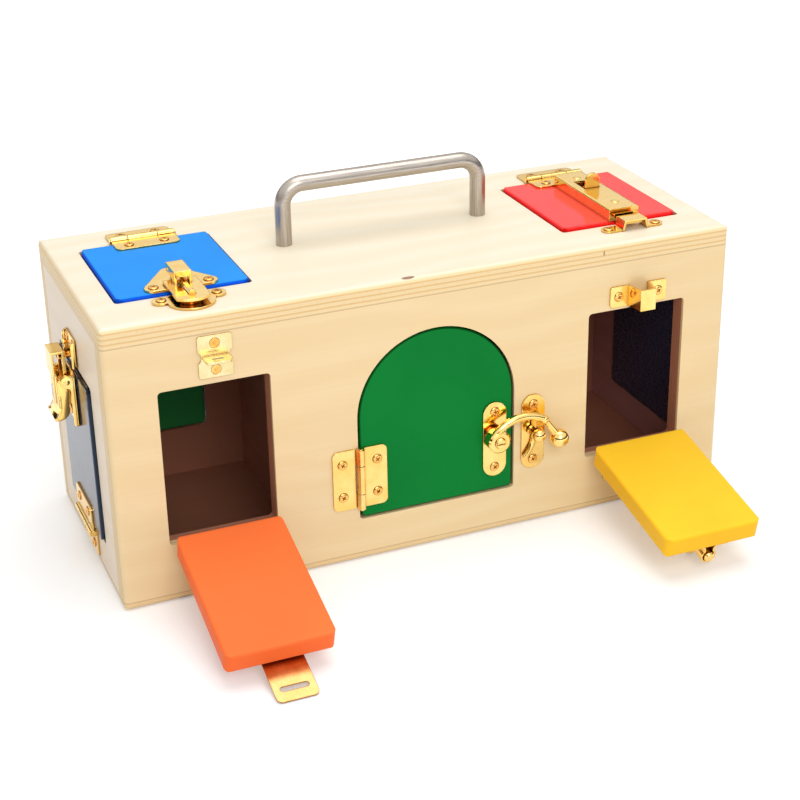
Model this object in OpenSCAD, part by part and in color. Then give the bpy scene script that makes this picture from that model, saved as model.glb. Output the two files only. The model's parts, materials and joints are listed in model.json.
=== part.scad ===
// Wooden lock box toy: a birch plywood box with three compartments, eight
// small doors, each on a brass butt hinge, and a different brass lock on
// most of them. Millimetres, +Z up, front at -Y, origin at the middle of
// the underside. The orange and yellow doors stand open.

/* [Box] */
// Length of the box, left to right
body_l = 400; // [360:1:460]
// Depth of the box, front to back
body_d = 160; // [150:1:200]
// Height of the box without the handle
body_h = 180; // [174:1:230]
// Thickness of the plywood walls and top
wall = 12; // [9:0.5:15]
// Thickness of the plywood bottom
floor_t = 5; // [3:0.5:9]
// Rounding of the outer edges
edge_r = 3.5; // [1:0.5:4.5]
// Thickness of the inner partitions
partition_t = 8; // [5:0.5:9]
// Clearance between a partition and the heads of the handle's screws
partition_room = 1.1; // [0.5:0.1:6]

/* [Doors] */
// Thickness of the painted doors
door_t = 13; // [11:0.5:15]
// Clearance between a door and its opening
door_gap = 1; // [0.6:0.1:1.6]
// Rounding of a door's corners
door_corner = 5.5; // [2:0.5:7]
// Rounding of an opening's corners
open_corner = 2.5; // [1:0.5:3]
// Rounding of a door's edges
door_edge = 2; // [0.6:0.2:3]
// Width of the orange, yellow and back doors
front_door_w = 65; // [56:1:68]
// Height of the orange, yellow and back doors
front_door_h = 97; // [90:1:104]
// Distance from the end of the box to the middle of those doors
front_door_end = 63.5; // [58:0.5:70]
// Height of their lower edge above the ground
front_door_z = 39; // [37:0.5:41]
// Width of the green arched door
arch_w = 101.5; // [90:0.5:106]
// Height of the straight part of the arched door
arch_side = 65.7; // [62:0.1:70]
// Place of the arched door, left to right
arch_x = 1; // [-3:0.5:3]
// Height of its lower edge above the ground
arch_z = 29.3; // [26:0.1:34]
// Width of the blue and red lids
lid_w = 80; // [70:1:84]
// Depth of the blue and red lids
lid_d = 90; // [84:0.5:96]
// How far the lids stand above the top
lid_proud = 2; // [1:0.25:2.25]
// Distance from the left end of the box to the middle of the blue lid
blue_end = 59.2; // [56:0.1:62]
// Place of the blue lid, front to back
blue_y = 0.5; // [-3:0.5:4]
// Distance from the right end of the box to the middle of the red lid
red_end = 58.8; // [56:0.1:62]
// Place of the red lid, front to back
red_y = -2.5; // [-5:0.5:2]
// Width of the two end doors
end_door_w = 80; // [66:1:90]
// Height of the two end doors
end_door_h = 101; // [96:0.5:108]
// Place of the end doors, front to back
end_door_y = -1.5; // [-6:0.5:6]
// Height of their lower edge above the ground
end_door_z = 27; // [25:0.5:30]
// How far the left end door stands out of its opening
left_proud = 2.2; // [0:0.1:2.4]
// How far the orange door stands open, in degrees
orange_angle = 106.3; // [0:0.1:106.3]
// How far the yellow door stands open, in degrees
yellow_angle = 101.6; // [0:0.1:101.6]

/* [Hinges] */
// Length of a butt hinge
hinge_l = 40; // [30:1:46]
// Width of a leaf, from the pin
leaf_w = 17.5; // [15:0.5:20]
// Thickness of a leaf
leaf_t = 1.2; // [1:0.1:1.6]
// Rounding of a leaf's outer corners
leaf_corner = 3.6; // [0.6:0.2:5]
// Diameter of a knuckle
knuckle_d = 5; // [4.4:0.2:6]
// Diameter of the hinge pin
pin_d = 2.5; // [2:0.1:3]
// Distance from the pin to the edge of the door
hinge_set = 3.4; // [2.6:0.1:4]
// Height of the middle of the arched door's hinge above that door's edge
arch_hinge_up = 28; // [25:0.5:36]
// Distance of the hinge screws from the pin
leaf_screw_out = 11.2; // [9:0.1:12]
// Distance between the two screws of a leaf
leaf_screw_gap = 22; // [14:1:26]

/* [Screws and clearances] */
// Diameter of a screw's head
screw_head = 6; // [5:0.1:6.4]
// Diameter of a screw's shank
screw_d = 2.8; // [2.4:0.1:3.2]
// Length of a screw below its head
screw_l = 9; // [6:0.5:10]
// Clearance all round a pin or a bolt that turns or slides
run_gap = 0.05; // [0.03:0.01:0.1]
// Clearance between loose metal pieces
metal_gap = 0.4; // [0.3:0.05:0.6]

/* [Handle] */
// Distance between the handle's feet
handle_span = 130; // [96:1:150]
// Diameter of the handle's rod
handle_d = 10; // [8:0.5:12]
// Height of the rod's middle above the top
handle_rise = 37.5; // [30:0.5:46]
// Radius of the handle's bends, at the rod's middle
handle_bend = 13; // [10:0.5:18]
// Place of the handle, left to right
handle_x = 2; // [-6:0.5:6]
// Place of the handle, front to back
handle_y = 6; // [-8:0.5:12]
// Diameter of the screws that hold the handle
handle_screw_d = 4; // [3:0.5:5]

/* [Hasp of the orange door] */
// Width of the hasp
hasp_w = 24.6; // [22:0.2:28]
// Thickness of the hasp's strap and plate
hasp_t = 1.1; // [0.9:0.1:1.4]
// Place of the hasp and staple, to the right of the door's middle
hasp_x = 1.5; // [-4:0.5:4]
// Distance of the hasp's pin from the door's edge
hasp_back = 18; // [14:0.5:24]
// How far the strap reaches past the door's edge
strap_reach = 26.4; // [25:0.2:26.4]
// Width of the slot in the strap
strap_slot = 17; // [16.4:0.2:18]
// Height of the slot in the strap
strap_slot_h = 3.8; // [3.6:0.1:3.9]
// Width of the staple's tab
tab_w = 15.4; // [12:0.2:15.8]
// How far the tab stands out
tab_out = 11; // [9:0.5:13]
// Distance of the tab from the door's edge
tab_up = 17.8; // [17:0.1:19]
// Width of the staple's plate
staple_w = 20.5; // [19:0.5:24]
// Height of the staple's plate
staple_h = 26; // [24:0.5:30]

/* [Barrel bolts] */
// Diameter of the bolt
bolt_d = 6.8; // [5:0.2:7]
// Height of the bolt's middle above the door
bolt_h = 8.4; // [7.8:0.2:9]
// Travel of the bolt
bolt_throw = 14; // [12:0.5:15]
// Length of the bolt
bolt_l = 56; // [52:1:62]
// Wall of the bolt's barrel
barrel_wall = 1.2; // [1:0.1:1.8]
// Width of the bolt's plate
bolt_plate_w = 25; // [22:0.5:28]
// Length of the bolt's plate
bolt_plate_l = 52; // [48:1:54]
// Thickness of the bolt's plate and its keeper
bolt_plate_t = 1.4; // [1:0.1:1.6]
// Distance of the drawn bolt's knob from the door's edge
knob_back = 22; // [21:0.5:24]
// Height of the knob's middle above the door
knob_h = 18; // [15:0.5:18]
// Diameter of the knob
knob_d = 8; // [6:0.5:8]
// Width of a keeper across its flanges
keeper_w = 39; // [36:0.5:44]
// Length of a keeper along the bolt
keeper_l = 13.5; // [11:0.5:14]
// Width of the keeper's bridge at its foot
bridge_w = 16; // [15:0.5:18]
// Width of the keeper's bridge at its top
bridge_top = 10.4; // [10:0.2:12]

/* [Swing hook of the green door] */
// Width of the hook's two plates
hook_plate_w = 15.6; // [14:0.2:16.4]
// Height of the hook's two plates
hook_plate_h = 50.5; // [46:0.5:56]
// Thickness of the hook's two plates
hook_plate_t = 1.6; // [1.2:0.1:2]
// Height of the plates' middle above the door's lower edge
hook_up = 36; // [32:0.5:44]
// Distance of the hook's plate from the door's edge, at its middle
hook_in = 12.8; // [11.2:0.2:14]
// Height of the hook's pivot above the plates' middle
hook_rise = 2; // [0:0.2:3]
// Distance of the hook's pivot from the plate's middle, away from the edge
hook_shift = 0.8; // [0:0.2:1.6]
// Distance of the post from the door's edge
post_out = 13.5; // [12.5:0.5:15]
// Radius of the hook's curve
hook_r = 25; // [23:0.5:27]
// Thickness of the hook's arm
hook_arm_d = 5; // [4:0.25:5.5]
// Height of the arm's middle above the door
hook_arm_h = 9; // [8.5:0.25:10]
// Diameter of the hook's ball
hook_ball_d = 12; // [9:0.5:13]
// Diameter of the ball on the post
post_ball_d = 8.8; // [7:0.2:9]
// Diameter of the post's neck
post_neck_d = 3.6; // [3:0.2:4]

/* [Clasp of the blue lid] */
// Thickness of the clasp's plates and flap
clasp_t = 1.5; // [1.2:0.1:1.6]
// Distance of an ear's screw from the middle
clasp_ear_x = 16.4; // [16:0.2:18]
// Radius of an ear
clasp_ear_r = 5.4; // [5:0.1:5.8]
// Width of the flap
flap_w = 20; // [17:0.5:20.5]
// How far the flap reaches past the lid's edge
flap_reach = 25; // [23:0.5:26]
// Distance of the flap's pin from the lid's edge
flap_back = 15.5; // [15:0.1:15.8]
// Width of the raised hood on the flap
hood_w = 10.2; // [9.6:0.2:12]
// Length of the raised hood
hood_l = 18.2; // [17.6:0.1:18.4]
// Height of the raised hood above the flap
hood_h = 7.6; // [7:0.1:10]

/* [Slide bolt of the red lid] */
// Width of the slide bolt's case
case_w = 20.5; // [19:0.5:23]
// Length of the case
case_l = 75.5; // [72:0.5:80]
// Height of the case
case_h = 8; // [7:0.25:9]
// Sheet thickness of the case
case_t = 1.2; // [0.8:0.1:1.4]
// Distance of the case from the lid's edge
case_back = 0.4; // [0:0.2:2]
// Place of the case, to the right of the lid's middle
case_x = 2.3; // [-4:0.1:5]
// Width of the flat bolt
slide_w = 12; // [10:0.5:13]
// Thickness of the flat bolt
slide_t = 1.8; // [1.4:0.1:2.2]
// Travel of the flat bolt
slide_throw = 14; // [13:0.5:15]
// Width of the thumb tab
thumb_w = 10; // [8:0.5:11]
// Height of the thumb tab above the case
thumb_h = 9.8; // [8:0.2:14]
// Distance of the thumb tab from the lid's edge
thumb_back = 43; // [41:0.5:46]
// Width of the keeper across its ears
slide_keeper_w = 41.8; // [40:0.2:46]
// Length of the keeper along the bolt
slide_keeper_l = 10; // [8:0.5:10.5]

/* [Draw latch of the left door] */
// Width of the draw latch
draw_w = 24; // [23:0.5:27]
// Sheet thickness of the draw latch
draw_t = 1.3; // [1:0.1:1.5]
// Length of the base plate
draw_base_l = 34; // [30:0.5:38]
// Distance of the lever's pivot below the door's edge
lever_down = 5.5; // [5.4:0.1:6.5]
// Height of the lever's pivot above the door
lever_pivot_h = 5.5; // [5.5:0.25:6.5]
// Distance from the lever's pivot to the claw's pivot
claw_crank = 5; // [4:0.25:5.5]
// Length of the lever below its pivot
lever_l = 23; // [20:0.5:25]
// Height of the lever's face above the door
lever_h = 11; // [10.5:0.25:12]
// Height of the keeper's lip above the door's edge
lip_up = 11.1; // [10.5:0.1:11.5]
// Length of the keeper's plate
draw_keeper_l = 18; // [14:0.5:22]

/* [Hidden] */
$fn = 48;
knuckle_lift = 0.3;
pin_z = knuckle_d / 2 + knuckle_lift;
pin_bore = pin_d + 2 * run_gap;
head_depth = (screw_head - screw_d) / 2;
screw_proud = 0.1;
hole_gap = 0.1;
inner_d = body_d - 2 * wall;
wall_h = body_h - wall - floor_t;
front_door_x = body_l / 2 - front_door_end;
blue_x = blue_end - body_l / 2;
red_x = body_l / 2 - red_end;
handle_head_d = 1.7 * handle_screw_d;
partition_in = handle_span / 2 + abs(handle_x) + handle_head_d / 2 + partition_room;
partition_x = partition_in + partition_t / 2;
over = 1;

birch = [0.94, 0.84, 0.68];
brass = [0.90, 0.72, 0.33];
steel = [0.72, 0.72, 0.72];
orange = [1.00, 0.48, 0.24];
yellow = [1.00, 0.82, 0.16];
green = [0.08, 0.48, 0.20];
blue = [0.12, 0.48, 0.95];
red = [0.92, 0.16, 0.18];
navy = [0.13, 0.16, 0.34];

// Flat shapes

module rounded_rect(w, h, r) {
    square([w - 2 * r, h], center = true);
    square([w, h - 2 * r], center = true);
    for (x = [-1, 1], y = [-1, 1])
        translate([x * (w / 2 - r), y * (h / 2 - r)])
            circle(r);
}

module stadium(w, h) {
    square([w, h - w], center = true);
    for (y = [-1, 1])
        translate([0, y * (h - w) / 2])
            circle(d = w);
}

// A bridge's outline: half its width at the foot and at the top, and its height
module arch_of(foot, crown, h, below) {
    polygon([[-foot, -below], [-foot, 0], [-crown, h], [crown, h], [foot, 0], [foot, -below]]);
}

// A slab with round corners in its plan and softened edges, centred
module soft_slab(w, h, t, corner, edge) {
    intersection() {
        linear_extrude(t, center = true)
            rounded_rect(w, h, corner);
        rotate([90, 0, 0])
            linear_extrude(h, center = true)
                rounded_rect(w, t, edge);
        rotate([90, 0, 90])
            linear_extrude(w, center = true)
                rounded_rect(h, t, edge);
    }
}

// The outer form of the box, whose edges are all sanded round
module soft_box() {
    translate([0, 0, body_h / 2])
        soft_slab(body_l, body_d, body_h, edge_r, edge_r);
}

// A block of the box between two corners, with the box's own round edges
module box_part(low, high) {
    intersection() {
        soft_box();
        translate(low)
            cube(high - low);
    }
}

// Faces of the box: X to the right and Y up as seen from outside, Z outwards

module at_front(x, z) {
    translate([x, -body_d / 2, z])
        rotate([90, 0, 0])
            children();
}

module at_back(x, z) {
    translate([x, body_d / 2, z])
        rotate([90, 0, 180])
            children();
}

module at_left(y, z) {
    translate([-body_l / 2, y, z])
        rotate([90, 0, -90])
            children();
}

module at_right(y, z) {
    translate([body_l / 2, y, z])
        rotate([90, 0, 90])
            children();
}

// Hinge lines: X along the pin, Y from the pin to the door, Z outwards

module orange_line() {
    at_front(-front_door_x, front_door_z - hinge_set)
        children();
}

module yellow_line() {
    at_front(front_door_x, front_door_z - hinge_set)
        children();
}

module green_line() {
    at_front(arch_x - arch_w / 2 - door_gap / 2, arch_z + arch_hinge_up)
        rotate([0, 0, -90])
            children();
}

module blue_line() {
    translate([blue_x, blue_y + lid_d / 2 + hinge_set, body_h])
        rotate([0, 0, 180])
            children();
}

module red_line() {
    translate([red_x, red_y + lid_d / 2 + hinge_set, body_h])
        rotate([0, 0, 180])
            children();
}

module left_line() {
    at_left(end_door_y, end_door_z - hinge_set)
        children();
}

module right_line() {
    at_right(end_door_y, end_door_z - hinge_set)
        children();
}

module back_line() {
    at_back(-front_door_x, front_door_z - hinge_set)
        children();
}

// Turns a door and what it carries about its pin
module swung(angle) {
    translate([0, 0, pin_z])
        rotate([angle, 0, 0])
            translate([0, 0, -pin_z])
                children();
}

// Moves from the pin to the free edge of a door of height h
module free_edge(h) {
    translate([0, hinge_set + h, 0])
        children();
}

// Each door's free edge, on the box and on the moving door

module orange_edge() {
    orange_line()
        free_edge(front_door_h)
            translate([hasp_x, 0, 0])
                children();
}

module orange_open_edge() {
    orange_line()
        swung(orange_angle)
            free_edge(front_door_h)
                translate([hasp_x, 0, 0])
                    children();
}

module yellow_edge() {
    yellow_line()
        free_edge(front_door_h)
            children();
}

module yellow_open_edge() {
    yellow_line()
        swung(yellow_angle)
            free_edge(front_door_h)
                children();
}

module green_edge() {
    at_front(arch_x + arch_w / 2, arch_z + hook_up)
        children();
}

module blue_edge() {
    blue_line()
        free_edge(lid_d)
            children();
}

module red_edge() {
    red_line()
        free_edge(lid_d)
            translate([-case_x, 0, 0])
                children();
}

module left_edge() {
    left_line()
        free_edge(end_door_h)
            children();
}

// The same edge on the left door, which stands out of its opening
module left_door_edge() {
    left_edge()
        translate([0, 0, left_proud])
            children();
}

module right_edge() {
    right_line()
        free_edge(end_door_h)
            children();
}

module back_edge() {
    back_line()
        free_edge(front_door_h)
            children();
}

// Fasteners

// A countersunk wood screw with a cross recess, driven through a plate
module screw(plate_t) {
    recess_w = 0.16 * screw_head;
    recess_l = 0.62 * screw_head;
    recess_d = 0.14 * screw_head;
    difference() {
        union() {
            translate([0, 0, plate_t - head_depth])
                cylinder(d1 = screw_d, d2 = screw_head, h = head_depth);
            translate([0, 0, plate_t])
                cylinder(d = screw_head, h = screw_proud);
            translate([0, 0, plate_t - head_depth - screw_l])
                cylinder(d = screw_d, h = screw_l);
        }
        translate([0, 0, plate_t + screw_proud])
            for (turn = [0, 90])
                rotate([0, 0, turn])
                    cube([recess_l, recess_w, 2 * recess_d], center = true);
    }
}

// The hole in a plate that such a screw sits in
module screw_hole(plate_t) {
    hole_d = screw_d + 2 * hole_gap;
    translate([0, 0, plate_t - head_depth])
        cylinder(d1 = hole_d, d2 = screw_head + 2 * hole_gap, h = head_depth);
    translate([0, 0, plate_t - over / 100])
        cylinder(d = screw_head + 2 * hole_gap, h = over);
    translate([0, 0, -over])
        cylinder(d = hole_d, h = over + plate_t);
}

// Butt hinges

knuckle_end = hinge_l * 0.26;
knuckle_mid = hinge_l - 2 * knuckle_end - 2 * metal_gap;
knuckle_room = knuckle_d / 2 + metal_gap;

module leaf_screws() {
    for (x = [-1, 1])
        translate([x * leaf_screw_gap / 2, leaf_screw_out, 0])
            children();
}

module barrel(l) {
    rotate([0, 90, 0])
        cylinder(d = knuckle_d, h = l, center = true);
}

// A leaf on the +Y side: fingers gives [middle, length] of its knuckles
module leaf(fingers, rise) {
    plate_w = leaf_w - knuckle_room;
    difference() {
        union() {
            translate([0, (leaf_w + knuckle_room) / 2, rise])
                linear_extrude(leaf_t) {
                    rounded_rect(hinge_l, plate_w, leaf_corner);
                    translate([-hinge_l / 2, -plate_w / 2])
                        square([hinge_l, plate_w / 2]);
                }
            for (f = fingers) {
                translate([f[0] - f[1] / 2, 0, rise])
                    cube([f[1], knuckle_room + 1, leaf_t]);
                translate([f[0], 0, pin_z])
                    barrel(f[1]);
            }
        }
        translate([0, 0, pin_z])
            rotate([0, 90, 0])
                cylinder(d = pin_bore, h = hinge_l + over, center = true);
        leaf_screws()
            translate([0, 0, rise])
                screw_hole(leaf_t);
    }
}

module fixed_leaf() {
    rotate([0, 0, 180])
        leaf([for (s = [-1, 1]) [s * (hinge_l - knuckle_end) / 2, knuckle_end]], 0);
}

module moving_leaf(rise) {
    relief = 0.15;
    difference() {
        leaf([[0, knuckle_mid]], rise);
        translate([-hinge_l / 2 - over, 0, rise - over])
            cube([hinge_l + 2 * over, hinge_set - door_gap, over + relief]);
    }
}

module hinge_pin() {
    head_t = 0.8;
    translate([0, 0, pin_z])
        rotate([0, 90, 0]) {
            cylinder(d = pin_d, h = hinge_l, center = true);
            for (s = [-1, 1])
                translate([0, 0, s * (hinge_l + head_t) / 2])
                    cylinder(d = pin_d + 1, h = head_t, center = true);
        }
}

module every_hinge_line() {
    orange_line() children();
    yellow_line() children();
    green_line() children();
    blue_line() children();
    red_line() children();
    left_line() children();
    right_line() children();
    back_line() children();
}

// Openings cut in the walls

module door_hole(w, h) {
    translate([0, hinge_set + h / 2, -wall - over])
        linear_extrude(wall + 2 * over)
            rounded_rect(w + 2 * door_gap, h + 2 * door_gap, open_corner);
}

module arch_hole() {
    r = arch_w / 2 + door_gap;
    low = arch_side + door_gap;
    at_front(arch_x, arch_z + arch_side)
        translate([0, 0, -wall - over])
            linear_extrude(wall + 2 * over) {
                circle(r, $fn = 96);
                translate([0, open_corner / 2 - low / 2])
                    square([2 * r, low - open_corner], center = true);
                translate([0, -low / 2])
                    rounded_rect(2 * r, low, open_corner);
            }
}

// Walls of the box

module front_panel() {
    color(birch)
        difference() {
            box_part([-body_l / 2, -body_d / 2, floor_t], [body_l / 2, -inner_d / 2, body_h - wall]);
            orange_line() door_hole(front_door_w, front_door_h);
            yellow_line() door_hole(front_door_w, front_door_h);
            arch_hole();
        }
}

module back_panel() {
    color(birch)
        difference() {
            box_part([-body_l / 2, inner_d / 2, floor_t], [body_l / 2, body_d / 2, body_h - wall]);
            back_line() door_hole(front_door_w, front_door_h);
        }
}

module left_panel() {
    color(birch)
        difference() {
            box_part([-body_l / 2, -inner_d / 2, floor_t], [-body_l / 2 + wall, inner_d / 2, body_h - wall]);
            left_line() door_hole(end_door_w, end_door_h);
        }
}

module right_panel() {
    color(birch)
        difference() {
            box_part([body_l / 2 - wall, -inner_d / 2, floor_t], [body_l / 2, inner_d / 2, body_h - wall]);
            right_line() door_hole(end_door_w, end_door_h);
        }
}

module top_panel() {
    color(birch)
        difference() {
            box_part([-body_l / 2, -body_d / 2, body_h - wall], [body_l / 2, body_d / 2, body_h]);
            blue_line() door_hole(lid_w, lid_d);
            red_line() door_hole(lid_w, lid_d);
            handle_feet()
                translate([0, 0, -wall - over])
                    cylinder(d = handle_screw_d + 2 * hole_gap, h = wall + 2 * over);
        }
}

module bottom_panel() {
    color(birch)
        box_part([-body_l / 2, -body_d / 2, 0], [body_l / 2, body_d / 2, floor_t]);
}

module partitions() {
    color(birch)
        for (side = [-1, 1])
            translate([side * partition_x, 0, floor_t + wall_h / 2])
                cube([partition_t, inner_d, wall_h], center = true);
}

// Handle: a bent steel rod, held by two screws from below

module handle_feet() {
    for (side = [-1, 1])
        translate([handle_x + side * handle_span / 2, handle_y, body_h])
            children();
}

handle_thread = 12;
thread_fit = 0.05;

module handle() {
    leg = handle_rise - handle_bend;
    bar = handle_span - 2 * handle_bend;
    color(steel)
        difference() {
            union() {
                handle_feet()
                    cylinder(d = handle_d, h = leg);
                translate([handle_x, handle_y, body_h + handle_rise])
                    rotate([0, 90, 0])
                        cylinder(d = handle_d, h = bar, center = true);
                for (side = [0, 1])
                    translate([handle_x, handle_y, body_h + leg])
                        mirror([side, 0, 0])
                            translate([bar / 2, 0, 0])
                                rotate([90, 0, 0])
                                    rotate_extrude(angle = 90)
                                        translate([handle_bend, 0])
                                            circle(d = handle_d);
            }
            handle_feet()
                translate([0, 0, -over])
                    cylinder(d = handle_screw_d + 2 * thread_fit, h = handle_thread + over);
        }
}

module handle_screws() {
    head_t = 0.6 * handle_screw_d;
    color(steel)
        handle_feet() {
            translate([0, 0, -wall])
                cylinder(d = handle_screw_d, h = wall + handle_thread - over);
            translate([0, 0, -wall - head_t])
                cylinder(d = handle_head_d, h = head_t);
        }
}

// Hinge pieces that stay with the box

module hinge_fixed_leaves() {
    color(brass)
        every_hinge_line()
            fixed_leaf();
}

module hinge_pins() {
    color(brass)
        every_hinge_line()
            hinge_pin();
}

module box_screws() {
    color(brass) {
        every_hinge_line()
            rotate([0, 0, 180])
                leaf_screws()
                    screw(leaf_t);
        orange_edge() staple_screws() screw(hasp_t);
        yellow_edge() keeper_screws() screw(bolt_plate_t);
        right_edge() keeper_screws() screw(bolt_plate_t);
        back_edge() keeper_screws() screw(bolt_plate_t);
        green_edge() hook_screws(post_out) screw(hook_plate_t);
        blue_edge() catch_screws() screw(clasp_t);
        red_edge() slide_keeper_screws() screw(case_t);
        left_edge() draw_keeper_screws() screw(draw_t);
    }
}

// Doors

module door_slab(w, h, proud) {
    translate([0, hinge_set + h / 2, proud - door_t / 2])
        soft_slab(w, h, door_t, door_corner, door_edge);
}

module orange_door() {
    color(orange)
        orange_line()
            swung(orange_angle)
                door_slab(front_door_w, front_door_h, 0);
}

module orange_leaf() {
    color(brass)
        orange_line()
            swung(orange_angle)
                moving_leaf(0);
}

module yellow_door() {
    color(yellow)
        yellow_line()
            swung(yellow_angle)
                door_slab(front_door_w, front_door_h, 0);
}

module yellow_leaf() {
    color(brass)
        yellow_line()
            swung(yellow_angle)
                moving_leaf(0);
}

// The arched door: a turned half disc on a straight slab, with one edge rounding
module green_door() {
    color(green)
        at_front(arch_x, arch_z + arch_side)
            translate([0, 0, -door_t / 2]) {
                rotate_extrude($fn = 96)
                    intersection() {
                        rounded_rect(arch_w, door_t, door_edge);
                        translate([0, -door_t / 2])
                            square([arch_w / 2, door_t]);
                    }
                intersection() {
                    soft_slab(arch_w, 2 * arch_side, door_t, door_corner, door_edge);
                    translate([-arch_w / 2, -arch_side, -door_t / 2])
                        cube([arch_w, arch_side, door_t]);
                }
            }
}

module green_leaf() {
    color(brass)
        green_line()
            moving_leaf(0);
}

module blue_lid() {
    color(blue)
        blue_line()
            door_slab(lid_w, lid_d, lid_proud);
}

module blue_leaf() {
    color(brass)
        blue_line()
            moving_leaf(lid_proud);
}

module red_lid() {
    color(red)
        red_line()
            door_slab(lid_w, lid_d, lid_proud);
}

module red_leaf() {
    color(brass)
        red_line()
            moving_leaf(lid_proud);
}

module left_door() {
    color(navy)
        left_line()
            door_slab(end_door_w, end_door_h, left_proud);
}

module left_leaf() {
    color(brass)
        left_line()
            moving_leaf(left_proud);
}

module right_door() {
    color(navy)
        right_line()
            door_slab(end_door_w, end_door_h, 0);
}

module right_leaf() {
    color(brass)
        right_line()
            moving_leaf(0);
}

module back_door() {
    color(green)
        back_line()
            door_slab(front_door_w, front_door_h, 0);
}

module back_leaf() {
    color(brass)
        back_line()
            moving_leaf(0);
}

// Hasp and staple of the orange door

hasp_knuckle = 3.4;
hasp_pin = 1.8;
strap_room = 0.25;
strap_z = hasp_t + screw_proud + strap_room;
hasp_pin_z = strap_z + hasp_t / 2;
hasp_room = hasp_knuckle / 2 + metal_gap;
hasp_mid = hasp_w / 3;
hasp_plate_l = 22;
hasp_screw_x = 7;

module hasp_screws() {
    for (x = [-1, 1])
        translate([x * hasp_screw_x, -hasp_back - hasp_plate_l / 2 - hasp_room / 2, 0])
            children();
}

module hasp_plate() {
    end_l = (hasp_w - hasp_mid) / 2 - metal_gap;
    color(brass)
        orange_open_edge() {
            difference() {
                union() {
                    translate([0, -hasp_back - (hasp_plate_l + hasp_room) / 2, 0])
                        linear_extrude(hasp_t)
                            rounded_rect(hasp_w, hasp_plate_l - hasp_room, 3);
                    for (s = [-1, 1])
                        translate([s * (hasp_w - end_l) / 2, -hasp_back, 0]) {
                            translate([-end_l / 2, -hasp_room - 1, 0])
                                cube([end_l, hasp_room + 1, hasp_pin_z]);
                            translate([0, 0, hasp_pin_z])
                                rotate([0, 90, 0])
                                    cylinder(d = hasp_knuckle, h = end_l, center = true);
                        }
                }
                hasp_screws()
                    screw_hole(hasp_t);
            }
            translate([0, -hasp_back, hasp_pin_z])
                rotate([0, 90, 0])
                    cylinder(d = hasp_pin, h = hasp_w, center = true);
        }
}

module hasp_strap() {
    tip_r = 7;
    body_back = hasp_back - hasp_room;
    color(brass)
        orange_open_edge()
            difference() {
                union() {
                    translate([0, (strap_reach - body_back) / 2, strap_z])
                        linear_extrude(hasp_t)
                            rounded_rect(hasp_w, strap_reach + body_back, tip_r / 2);
                    translate([-hasp_mid / 2, -hasp_back, strap_z])
                        cube([hasp_mid, hasp_room + 1, hasp_t]);
                    translate([0, -hasp_back, hasp_pin_z])
                        rotate([0, 90, 0])
                            cylinder(d = hasp_knuckle, h = hasp_mid, center = true);
                }
                translate([0, -hasp_back, hasp_pin_z])
                    rotate([0, 90, 0])
                        cylinder(d = hasp_pin + 2 * run_gap, h = hasp_w, center = true);
                translate([0, tab_up, strap_z - over])
                    linear_extrude(hasp_t + 2 * over)
                        rotate([0, 0, 90])
                            stadium(strap_slot_h, strap_slot);
            }
}

module orange_screws() {
    color(brass) {
        orange_line()
            swung(orange_angle)
                leaf_screws()
                    screw(leaf_t);
        orange_open_edge()
            hasp_screws()
                screw(hasp_t);
    }
}

staple_screw_y = 8.2;
tab_t = 1.6;

module staple_screws() {
    for (s = [-1, 1])
        translate([0, tab_up + s * staple_screw_y, 0])
            children();
}

// A waisted plate with a tab that is bent straight out and pierced for a peg
module staple_plate() {
    waist_r = 4;
    hole_w = 2.2;
    hole_l = 7;
    color(brass)
        orange_edge()
            difference() {
                union() {
                    translate([0, tab_up, 0])
                        linear_extrude(hasp_t)
                            difference() {
                                rounded_rect(staple_w, staple_h, 1.5);
                                for (s = [-1, 1])
                                    translate([s * (staple_w / 2 + waist_r / 2), 0])
                                        circle(waist_r);
                            }
                    translate([0, tab_up, tab_out / 2])
                        rotate([90, 0, 0])
                            linear_extrude(tab_t, center = true)
                                difference() {
                                    translate([0, -1])
                                        rounded_rect(tab_w, tab_out + 2, 3);
                                    translate([0, -tab_out / 2 - over])
                                        square([tab_w + over, 2 * over], center = true);
                                    translate([0, 1])
                                        rotate([0, 0, 90])
                                            stadium(hole_w, hole_l);
                                }
                }
                staple_screws()
                    screw_hole(hasp_t);
            }
}

// Barrel bolts of the yellow, right and back doors

barrel_r = bolt_d / 2 + barrel_wall;
case_end = 2;
knob_stem = 3.8;
case_screw_rim = 0.6;
case_screw_x = bolt_plate_w / 2 - screw_head / 2 - case_screw_rim;
case_screw_y = 5;

module case_screws() {
    for (x = [-1, 1], y = [-case_end - case_screw_y, -case_end - bolt_plate_l + case_screw_y])
        translate([x * case_screw_x, y, 0])
            children();
}

// A flat plate with a round barrel on a narrow neck, open on top for the knob
module bolt_case() {
    neck_w = 0.68 * bolt_d + barrel_wall;
    slot_w = knob_stem + 2 * metal_gap;
    middle = -case_end - bolt_plate_l / 2;
    difference() {
        union() {
            translate([0, middle, 0])
                linear_extrude(bolt_plate_t)
                    rounded_rect(bolt_plate_w, bolt_plate_l, 2);
            translate([-neck_w / 2, middle - bolt_plate_l / 2, 0])
                cube([neck_w, bolt_plate_l, bolt_h]);
            translate([0, middle, bolt_h])
                rotate([90, 0, 0])
                    cylinder(r = barrel_r, h = bolt_plate_l, center = true);
        }
        translate([0, middle, bolt_h])
            rotate([90, 0, 0])
                cylinder(d = bolt_d + 2 * run_gap, h = bolt_plate_l + over, center = true);
        translate([-slot_w / 2, -knob_back - slot_w / 2, bolt_h])
            cube([slot_w, bolt_throw + slot_w, 2 * barrel_r]);
        case_screws()
            screw_hole(bolt_plate_t);
    }
}

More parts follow.
